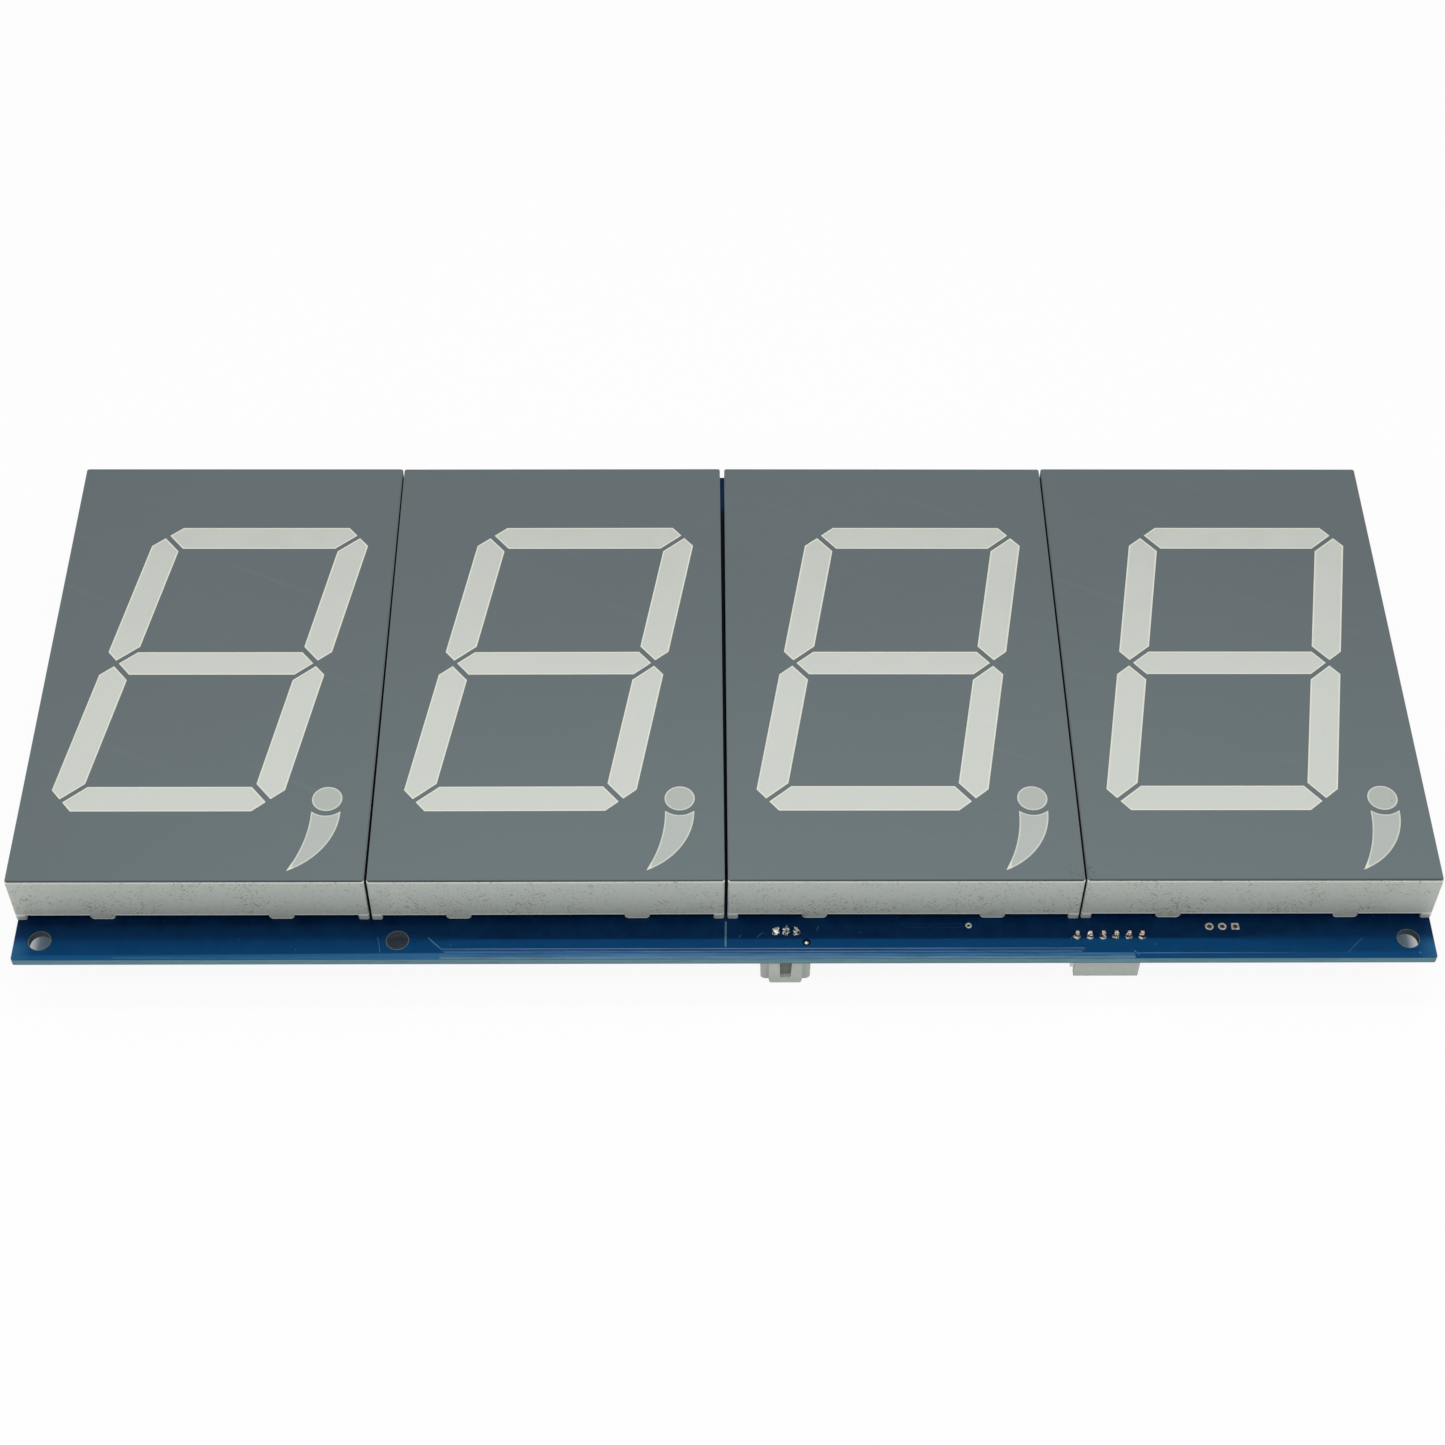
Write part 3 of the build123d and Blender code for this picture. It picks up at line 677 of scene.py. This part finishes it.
def can_finish():
    """A dark shrink sleeve with a pale stripe down one side, open over the can's scored metal end."""
    material, tree, shader = new_finish("capacitor_sleeve", (0.010, 0.013, 0.020), 0.25)
    place = place_in_mm(tree)
    across, along, height = split(tree, place)
    from_middle = distance_from(tree, distance_from(tree, across, 0.0), digit_middles[-1] / mm)
    out = distance_from(tree, along, can_middle_y)
    out_squared = calculate(tree, "POWER", out, 2.0)
    squared = calculate(tree, "MULTIPLY_ADD", from_middle, from_middle, out_squared)
    radius = calculate(tree, "SQRT", squared)
    end = calculate(tree, "LESS_THAN", height, floor_height / mm + 0.5)
    metal = overlap(tree, end, spread(tree, radius, 3.2, 3.3, 1.0, 0.0))
    stripe_start = can_middle_y + can_radius * 0.78
    stripe = spread(tree, along, stripe_start, stripe_start + 0.08)
    # The score lines in the metal end are painted dark as shade in their grooves
    unscored = spread(tree, calculate(tree, "MINIMUM", from_middle, out), 0.14, 0.20)
    colour = lay_over(
        tree, (0.008, 0.010, 0.016),
        (mottle(tree, place, 1.0, 4.0), (0.014, 0.018, 0.028)),
        (stripe, (0.46, 0.47, 0.46)),
        (metal, blend(tree, unscored, (0.22, 0.22, 0.22), (0.66, 0.67, 0.68))))
    join(tree, colour, shader, "Base Color")
    join(tree, metal, shader, "Metallic")
    join(tree, spread(tree, metal, 0.0, 1.0, 0.25, 0.38), shader, "Roughness")
    return material


def grained_finish(name, dark, light, roughness, per_mm, depth, shine=0.5):
    """A plain body whose two tones are mixed by a fine grain, with relief of that depth."""
    material, tree, shader = new_finish(name, light, roughness, Specular_IOR_Level=shine)
    place = place_in_mm(tree)
    grain = clouds(tree, place, per_mm, 4.0, 0.6)
    join(tree, blend(tree, spread(tree, grain, 0.3, 0.7), dark, light), shader, "Base Color")
    join(tree, spread(tree, grain, 0.3, 0.7, roughness - 0.06, roughness + 0.08), shader, "Roughness")
    set_relief(tree, shader, grain, depth, 0.7)
    return material


def capped_finish(name, body, middle, half_length, cap_length):
    """A small chip part: a glazed body between two tinned ends, along Y."""
    material, tree, shader = new_finish(name, body, 0.3)
    place = place_in_mm(tree)
    away = distance_from(tree, split(tree, place)[1], middle / mm)
    cap = calculate(tree, "GREATER_THAN", away, (half_length - cap_length) / mm)
    darker = tuple(part * 0.8 for part in body)
    colour = blend(tree, mottle(tree, place, 2.0), darker, body)
    join(tree, blend(tree, cap, colour, (0.62, 0.62, 0.60)), shader, "Base Color")
    join(tree, cap, shader, "Metallic")
    return material


def dress(node, material):
    """Give a solid of the frame its finish."""
    slots = nodes[node].data.materials
    slots.clear()
    slots.append(material)


def dress_digits():
    """The finishes of the four digit modules."""
    green = (0.02, 0.07, 0.03)
    amber = (0.60, 0.52, 0.20)
    shared = {
        "housing": housing_finish(),
        "face_film": film_finish(),
        "light_board": grained_finish("light_board", green, (0.04, 0.12, 0.06), 0.35, 1.5, 0.01 * mm),
        "light_chips": grained_finish("light_chip", amber, (0.75, 0.68, 0.32), 0.2, 2.0, 0.01 * mm),
        "digit_pins": tinned_finish("tinned_pin"),
    }
    for number, middle in zip(digits, digit_middles):
        for node, finish in shared.items():
            dress(f"{node}_{number}", finish)
        dress(f"light_bars_{number}", light_bar_finish(number, middle))


def dress_board(plating):
    """The finishes of the board, its headers and the parts on its rear."""
    tin = tinned_finish("lead_tin")
    tipped = tinned_finish("header_pin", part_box("signal_header_pins")[1].z - 0.1 * mm)
    nylon = nylon_finish()
    resin = grained_finish(
        "chip_resin", (0.012, 0.012, 0.013), (0.022, 0.022, 0.024), 0.55, 4.0, 0.02 * mm)
    for names, finish in (
            (["main_board"], lacquer_finish()),
            (["power_header_shroud", "signal_header_base"], nylon),
            (["signal_header_pins"], tipped),
            (["power_header_pins", "driver_chip_leads", "bulk_capacitor_leads"], tin),
            (["top_solder_joints", "rear_solder_joints", "open_pads"], plating),
            (["driver_chips"], resin),
            (["bulk_capacitors"], can_finish())):
        for name in names:
            dress(name, finish)
    for name, slot, body, cap in (("bar_resistors", "resistor_body", (0.010, 0.010, 0.012), 0.45),
                                  ("ceramic_capacitors", "ceramic_body", (0.30, 0.19, 0.10), 0.40)):
        low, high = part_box(name)
        half_length = (high.y - low.y) / 2
        dress(name, capped_finish(slot, body, (low.y + high.y) / 2, half_length, cap * mm))


def turned(profile, steps=20, closed=False):
    """A round form: the (radius, height) points of a profile in millimetres, spun about Z."""
    form = bmesh.new()
    points = [form.verts.new((radius * mm, 0, height * mm)) for radius, height in profile]
    edges = [form.edges.new(pair) for pair in zip(points, points[1:])]
    if closed:
        edges.append(form.edges.new((points[-1], points[0])))
    bmesh.ops.spin(form, geom=points + edges, cent=(0, 0, 0), axis=(0, 0, 1), angle=2 * pi,
                   steps=steps, use_merge=True)
    bmesh.ops.remove_doubles(form, verts=form.verts, dist=0.0001 * mm)
    bmesh.ops.recalc_face_normals(form, faces=form.faces)
    return form


def gather(whole, form, matrix):
    """Add one form to a piece, moved to its place."""
    mesh = bpy.data.meshes.new("part")
    bmesh.ops.transform(form, matrix=matrix, verts=form.verts)
    if matrix.determinant() < 0:
        bmesh.ops.reverse_faces(form, faces=form.faces)
    form.to_mesh(mesh)
    form.free()
    whole.from_mesh(mesh)
    bpy.data.meshes.remove(mesh)


def make_piece(whole, name, material, replaced=()):
    """Turn gathered forms into a piece that rides on the board."""
    mesh = bpy.data.meshes.new(name)
    whole.to_mesh(mesh)
    whole.free()
    return set_piece(mesh, name, material, replaced)


def set_piece(mesh, name, material, replaced=()):
    """Put a finished mesh in the scene, smooth, in its material and on its body."""
    mesh.shade_smooth()
    mesh.set_sharp_from_angle(angle=radians(40))
    mesh.materials.append(material)
    piece = bpy.data.objects.new(name, mesh)
    bpy.context.collection.objects.link(piece)
    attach(piece, "root")
    if replaced:
        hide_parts(*replaced)
    return piece


def pin_places(node):
    """The middle of each upright pin of a solid, seen from above."""
    apart = 1.3 * mm
    groups = []
    for vertex in nodes[node].data.vertices:
        spot = vertex.co.xy
        for group in groups:
            if (group[0] - spot).length < apart:
                group.append(spot)
                break
        else:
            groups.append([spot])
    middles = []
    for group in groups:
        across = [spot.x for spot in group]
        along = [spot.y for spot in group]
        middles.append(Vector(((min(across) + max(across)) / 2, (min(along) + max(along)) / 2)))
    return sorted(middles, key=lambda middle: middle.x)


def uneven(form, amount, seed, grain=1.4):
    """Push a form's points out and in by smooth noise, more so higher up."""
    top = max(vertex.co.z for vertex in form.verts)
    for vertex in form.verts:
        share = vertex.co.z / top
        pull = noise.noise_vector(vertex.co / mm * grain + Vector((seed * 7.3, seed * 3.1, 0)))
        vertex.co.x += pull.x * amount * share * mm
        vertex.co.y += pull.y * amount * share * mm
        vertex.co.z += pull.z * amount * share * mm * 0.6


def add_window_rims():
    """The moulded rim round each light bar, just below the film's face, in a finish painted bright as a
    highlight.
    """
    for number, middle in zip(digits, digit_middles):
        rims = bmesh.new()
        rims.from_mesh(nodes[f"light_bars_{number}"].data)
        bmesh.ops.remove_doubles(rims, verts=rims.verts, dist=0.001 * mm)
        keep_faces(rims, [face for face in rims.faces if face.normal.z > 0.9])
        bmesh.ops.dissolve_limit(rims, angle_limit=radians(1), verts=rims.verts, edges=rims.edges)
        for vertex in rims.verts:
            vertex.co.z = rim_height
        tops = rims.faces[:]
        bmesh.ops.inset_individual(
            rims, faces=tops, thickness=-window_rim_out * mm, use_even_offset=True)
        keep_faces(rims, tops)
        inset = bmesh.ops.inset_individual(
            rims, faces=tops, thickness=window_rim_width * mm, use_even_offset=True)
        keep_faces(rims, inset["faces"])
        raised = bmesh.ops.extrude_face_region(rims, geom=rims.faces[:], use_keep_orig=True)["geom"]
        raised_points = [part for part in raised if isinstance(part, bmesh.types.BMVert)]
        bmesh.ops.translate(rims, verts=raised_points, vec=(0, 0, window_rim_rise * mm))
        bmesh.ops.recalc_face_normals(rims, faces=rims.faces)
        finish = window_rim_finish(number, middle)
        make_piece(rims, f"window_rims_{number}", finish)


def keep_faces(form, kept):
    """Take away every face of a form but the kept ones."""
    kept = set(kept)
    others = [face for face in form.faces if face not in kept]
    bmesh.ops.delete(form, geom=others, context="FACES")


def add_header_joints(solder):
    """The hand-soldered joints round the header pins, each a little different."""
    smooth_joint = [(0, 0), (0.80, 0), (0.82, 0.05), (0.74, 0.20), (0.60, 0.45), (0.52, 0.75),
                    (0.47, 1.0), (0.38, 1.14), (0.2, 1.18), (0, 1.18)]
    rough_joint = [(0, 0), (0.80, 0), (0.84, 0.08), (0.80, 0.30), (0.66, 0.60), (0.56, 0.90),
                   (0.46, 1.14), (0.3, 1.36), (0, 1.42)]
    hidden_joint = [(0, 0), (0.82, 0), (0.78, 0.15), (0.55, 0.5), (0.4, 0.8), (0, 0.9)]
    whole = bmesh.new()
    rows = (("power_header_pins", rough_joint, 0.72, 1.9),
            ("signal_header_pins", smooth_joint, 0.26, 1.4),
            ("bulk_capacitor_leads", hidden_joint, 0.1, 1.0))
    for node, profile, amount, grain in rows:
        for number, middle in enumerate(pin_places(node)):
            form = turned(profile, 28)
            bmesh.ops.subdivide_edges(form, edges=form.edges, cuts=1, use_grid_fill=True, smooth=0.6)
            uneven(form, amount, number + len(node), grain)
            gather(whole, form, Matrix.Translation((middle.x, middle.y, board_top)))
    make_piece(whole, "header_joints", solder, ["top_solder_joints"])


def add_digit_joints(solder):
    """The machine-soldered joints on the rear, hollow-sided cones round the digits' pins."""
    profile = [(0, 0), (1.0, 0), (0.94, 0.06), (0.76, 0.2), (0.6, 0.42),
               (0.47, 0.7), (0.38, 0.88), (0, 0.9)]
    over = Matrix.Scale(-1, 4, (0, 0, 1))
    whole = bmesh.new()
    for digit in digits:
        for number, middle in enumerate(pin_places(f"digit_pins_{digit}")):
            form = turned(profile)
            uneven(form, 0.06, digit * 13 + number)
            gather(whole, form, Matrix.Translation((middle.x, middle.y, 0)) @ over)
    make_piece(whole, "digit_joints", solder, ["rear_solder_joints"])


def add_test_pad(solder):
    """The small test hole: a black ring of painted shade and a bead of solder that half closes it."""
    radius = 0.46
    dome = [(radius * cos(radians(turn)), radius * sin(radians(turn))) for turn in range(0, 90, 12)]
    bead = [(0, 0)] + dome + [(0, radius)]
    ring = [(0.34, 0.0), (0.36, 0.03), (0.80, 0.03), (0.84, 0.0)]
    x, y = test_pad_place
    whole = bmesh.new()
    bead_place = (x * mm, (y + test_bead_shift) * mm, board_top)
    gather(whole, turned(bead, 32), Matrix.Translation(bead_place))
    make_piece(whole, "test_pad_bead", solder)
    black = (0.0010, 0.0015, 0.0020)
    brown = (0.0030, 0.0040, 0.0045)
    # Painted shade: the black ring round the bead
    shade_ring_finish = grained_finish("painted_shade_ring", black, brown, 0.5, 3.0, 0.01 * mm, shine=0.05)
    whole = bmesh.new()
    gather(whole, turned(ring, 32, closed=True), Matrix.Translation((x * mm, y * mm, board_top)))
    make_piece(whole, "test_pad_ring", shade_ring_finish)


def square_off(form, bore):
    """Push the outside of a round ring out to a square, a little narrower than the ring."""
    narrowing = 0.92
    for vertex in form.verts:
        radius = vertex.co.xy.length
        if radius > bore * 1.3:
            widest = max(abs(vertex.co.x), abs(vertex.co.y)) / radius
            vertex.co.x *= narrowing / widest
            vertex.co.y *= narrowing / widest


def add_plated_rings(plating):
    """A plated sleeve with a flange on each face of the board, for each hole left open."""
    edge = 0.06
    lift = 0.05
    top = board_top / mm
    whole = bmesh.new()
    holes = [(place, open_pad_radii) for place in open_pads] + [(lone_pad, lone_pad_radii)]
    for (x, y), (outer, bore) in holes:
        profile = [(outer, top), (outer - edge, top + lift), (bore + edge, top + lift), (bore, top),
                   (bore, 0), (bore + edge, -lift), (outer - edge, -lift), (outer, 0)]
        form = turned(profile, 28, closed=True)
        if (x, y) == open_pads[-1]:
            square_off(form, bore * mm)
        gather(whole, form, Matrix.Translation((x * mm, y * mm, 0)))
    make_piece(whole, "plated_rings", plating, ["open_pads"])


def add_hole_rims():
    """The thin bare line round each fixing hole, where the drill broke the lacquer."""
    material = grained_finish(
        "bare_laminate", (0.13, 0.14, 0.10), (0.26, 0.25, 0.17), 0.6, 3.0, 0.005 * mm)
    rim_width = 0.07
    lift = 0.012
    edge_x = board_high.x / mm - hole_from_end
    edge_y = board_high.y / mm - hole_from_side
    top = board_top / mm
    whole = bmesh.new()
    for y in (-edge_y, edge_y):
        for x in (-edge_x, middle_hole_x, edge_x):
            for level in (0.0, top):
                profile = [(hole_radius, level - lift), (hole_radius + rim_width, level - lift),
                           (hole_radius + rim_width, level + lift), (hole_radius, level + lift)]
                gather(whole, turned(profile, 64, closed=True), Matrix.Translation((x * mm, y * mm, 0)))
    make_piece(whole, "hole_rims", material)


def add_lines(name, paths, width, height, level, material, closed=False):
    """Low rounded lines along paths in millimetres on a flat face, as tracks and print stand."""
    curve = bpy.data.curves.new(name, "CURVE")
    curve.dimensions = "3D"
    curve.bevel_depth = width * mm / 2
    curve.bevel_resolution = 1
    curve.use_fill_caps = True
    for path in paths:
        spline = curve.splines.new("POLY")
        spline.points.add(len(path) - 1)
        spline.use_cyclic_u = closed
        for point, (x, y) in zip(spline.points, path):
            point.co = (x * mm, y * mm, 0, 1)
    drawn = bpy.data.objects.new(name, curve)
    mesh = bpy.data.meshes.new_from_object(drawn)
    bpy.data.objects.remove(drawn)
    bpy.data.curves.remove(curve)
    mesh.transform(Matrix.Diagonal((1, 1, height / (width / 2), 1)))
    mesh.transform(Matrix.Translation((0, 0, level)))
    return set_piece(mesh, name, material)


def add_front_tracks():
    """The tracks that show under the lacquer on the front strip, scratches and the painted reflection
    below the gap.
    """
    pale = track_finish("lacquer_over_track", (0.067, 0.183, 0.338), (
        ("from_middle", 18.0, 46.0, (0.038, 0.149, 0.304)),
        ("along", -64.35, -64.65, (0.110, 0.235, 0.325))))
    violet = track_finish("lacquer_between_tracks", (0.009, 0.060, 0.183))
    thin = track_finish("lacquer_on_thin_track", (0.100, 0.220, 0.390), (
        ("from_middle", 15.0, 50.0, (0.060, 0.165, 0.330)),
        ("across", 84.0, 112.0, (0.006, 0.060, 0.165))))
    faint = track_finish("lacquer_over_buried_track", (0.0026, 0.031, 0.100))
    dim = track_finish("lacquer_on_edge_line", (0.028, 0.120, 0.260))
    scratch = track_finish("scratched_lacquer", (0.050, 0.190, 0.330))
    # Painted reflection of the bright gap above it
    streak = track_finish("painted_reflection_below_the_gap", (0.090, 0.190, 0.310))
    low_x, high_x = band_ends
    band = [((low_x, band_middle), (high_x, band_middle))]
    between = [((low_x + 0.4, between_lines), (line_places[0][-1][0], between_lines))]
    raised = 0.035
    flat = 0.01
    for name, paths, width, height, finish in (
            ("front_track", band, band_width, raised, pale),
            ("between_tracks", between, between_width, raised, violet),
            ("thin_tracks", line_places, line_width, raised, thin),
            ("buried_tracks", buried_tracks, buried_width, flat, faint),
            ("edge_line", edge_line, edge_line_width, flat, dim),
            ("scratches", scratches, scratch_width, flat, scratch),
            ("gap_reflection", gap_reflection, gap_reflection_width, flat, streak)):
        add_lines(name, paths, width, height, board_top, finish)


def row_of(middle, ways, pitch):
    """The places of so many things in a row about a middle."""
    return [middle + (number - (ways - 1) / 2) * pitch for number in range(ways)]


def rear_track_paths(middle):
    """The tracks behind one digit, in millimetres: chip to resistors, chip to pins, and the bus."""
    paths = []
    low_pads, high_pads = driver_pads_y
    near_resistors, far_resistors = resistor_pads_y
    front_pins, back_pins = pin_rows_y
    chip_feet = row_of(middle, driver_ways, driver_pitch)
    resistor_feet = row_of(middle, resistor_ways, resistor_pitch)
    front_feet = row_of(middle, pin_ways, pin_pitch)
    stagger = 0.9
    for number, (foot, end) in enumerate(zip(chip_feet[1:-1], resistor_feet)):
        turn = low_pads - 2.0 - abs(number - (resistor_ways - 1) / 2) * stagger
        paths.append(((foot, low_pads), (foot, turn), (end, turn - abs(end - foot) * 0.4),
                      (end, near_resistors)))
    for end, pin in zip(resistor_feet[1:-1], front_feet):
        step = far_resistors - 8.0
        paths.append(((end, far_resistors), (end, step), (pin, step - abs(end - pin)),
                      (pin, front_pins)))
    for foot, pin in zip(chip_feet[2:-2], front_feet):
        step = high_pads + 6.0
        paths.append(((foot, high_pads), (foot, step), (pin, step + abs(foot - pin)),
                      (pin, back_pins)))
    return paths


def add_rear_print():
    """Tracks under the lacquer and white outlines round the parts, on the board's rear."""
    track = track_finish("lacquer_over_rear_track", (0.006, 0.070, 0.185))
    ink = grained_finish("white_print", (0.62, 0.63, 0.61), (0.72, 0.73, 0.71), 0.6, 2.0, 0.01 * mm)
    paths = []
    outlines = []
    round_outlines = []
    rail_y = board_high.y / mm - rail_from_edge
    half_row = digit_middles[-1] / mm + rail_past_digits
    chip_width, chip_length = driver_size
    for middle in [middle / mm for middle in digit_middles]:
        paths += rear_track_paths(middle)
        outlines.append(frame_path(middle, driver_middle_y, chip_width + 2.6, chip_length - 1.6))
        reach = (resistor_ways - 1) * resistor_pitch + 3.4
        outlines.append(frame_path(middle, sum(resistor_pads_y) / 2, reach, 5.6))
        for pins_y in pin_rows_y:
            outlines.append(frame_path(middle, pins_y, pin_ways * pin_pitch + 1.6, 3.4))
    for name in ("power_header_shroud", "signal_header_base"):
        low, high = [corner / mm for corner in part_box(name)]
        centre = (low + high) / 2
        outlines.append(frame_path(centre.x, centre.y, high.x - low.x + 0.8, high.y - low.y + 0.8))
    for middle in (digit_middles[0] / mm, digit_middles[-1] / mm):
        round_outlines.append(round_path(middle, can_middle_y, can_radius + 0.7))
    rails = [((-half_row, side * rail_y), (half_row, side * rail_y)) for side in (-1, 1)]
    rear_face = 0.0
    track_height = 0.03
    ink_width, ink_height = 0.18, 0.02
    for name, lines, width in (("rear_tracks", paths, 0.3), ("rear_rails", rails, 1.2)):
        add_lines(name, lines, width, track_height, rear_face, track)
    for name, lines in (("rear_outlines", outlines), ("can_outlines", round_outlines)):
        add_lines(name, lines, ink_width, ink_height, rear_face, ink, closed=True)


def frame_path(x, y, width, height):
    """The four corners of an upright rectangle about its middle."""
    return [(x + across * width / 2, y + along * height / 2)
            for across, along in ((-1, -1), (1, -1), (1, 1), (-1, 1))]


def round_path(x, y, radius):
    """Points round a circle."""
    turns = [radians(turn) for turn in range(0, 360, 10)]
    return [(x + radius * cos(turn), y + radius * sin(turn)) for turn in turns]


def add_chip_dots():
    """The moulded dimple that marks the first lead of each driver chip."""
    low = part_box("driver_chips")[0]
    profile = [(0, 0.012), (0.34, 0.012), (0.46, 0.0), (0.50, 0.0),
               (0.50, -0.012), (0.36, -0.012), (0.26, 0.0), (0, 0.0)]
    resin = grained_finish(
        "dimple_resin", (0.020, 0.020, 0.021), (0.034, 0.034, 0.036), 0.4, 4.0, 0.02 * mm)
    whole = bmesh.new()
    for middle in digit_middles:
        place = (middle - (driver_size[0] / 2 - 1.3) * mm, low.y + 2.6 * mm, low.z)
        gather(whole, turned(profile, 24), Matrix.Translation(place))
    make_piece(whole, "chip_dots", resin)


def add_floor():
    """A wide pale floor, whitened where it is seen, that keeps the object's shadow."""
    half = 3.0
    whitening = 0.93
    pale = (0.93, 0.93, 0.93)
    outline = bmesh.new()
    bmesh.ops.create_grid(outline, x_segments=1, y_segments=1, size=half,
                          matrix=Matrix.Translation((0, 0, floor_height)))
    mesh = bpy.data.meshes.new("floor")
    outline.to_mesh(mesh)
    outline.free()
    floor = bpy.data.objects.new("floor", mesh)
    bpy.context.collection.objects.link(floor)
    material, tree, shader = new_finish("floor", pale, 0.8, Specular_IOR_Level=0.0)
    # Under the board the floor is painted darker as a painted shadow, and nothing whitens it
    across, along = split(tree, place_in_mm(tree))[:2]
    away_x = spread(tree, distance_from(tree, across, 0.0), 136.6, 142.4)
    away_y = spread(tree, distance_from(tree, along, 0.0), 57.0, 58.5)
    outside = either(tree, away_x, away_y)
    join(tree, blend(tree, outside, (0.34, 0.44, 0.52), pale), shader, "Base Color")
    share = overlap(tree, seen_directly(tree), outside, whitening)
    glow = add_node(tree, "ShaderNodeEmission", {"Color": (1, 1, 1, 1), "Strength": 1.0})
    mixed = add_node(tree, "ShaderNodeMixShader", {0: share, 1: shader.outputs[0], 2: glow.outputs[0]})
    output = tree.nodes["Material Output"]
    tree.links.new(mixed.outputs[0], output.inputs["Surface"])
    mesh.materials.append(material)


def light_room():
    """A white room that is seen at full strength and lights the object more softly."""
    world = bpy.data.worlds.new("room")
    bpy.context.scene.world = world
    world.use_nodes = True
    tree = world.node_tree
    background = tree.nodes["Background"]
    background.inputs["Color"].default_value = (1, 1, 1, 1)
    strength = spread(tree, seen_directly(tree), 0.0, 1.0, room_light, 1.0)
    tree.links.new(strength, background.inputs["Strength"])


add_camera()
light_room()
add_lamp("front_lamp", front_lamp_place, front_lamp_size, front_lamp_power)
add_lamp("rear_lamp", rear_lamp_place, rear_lamp_size, rear_lamp_power)
add_floor()
solder = solder_finish()
plating = plating_finish()
dress_digits()
dress_board(plating)
add_window_rims()
add_header_joints(solder)
add_digit_joints(solder)
add_test_pad(solder)
add_plated_rings(plating)
add_hole_rims()
add_front_tracks()
add_rear_print()
add_chip_dots()
bpy.context.scene.view_settings.view_transform = "Standard"
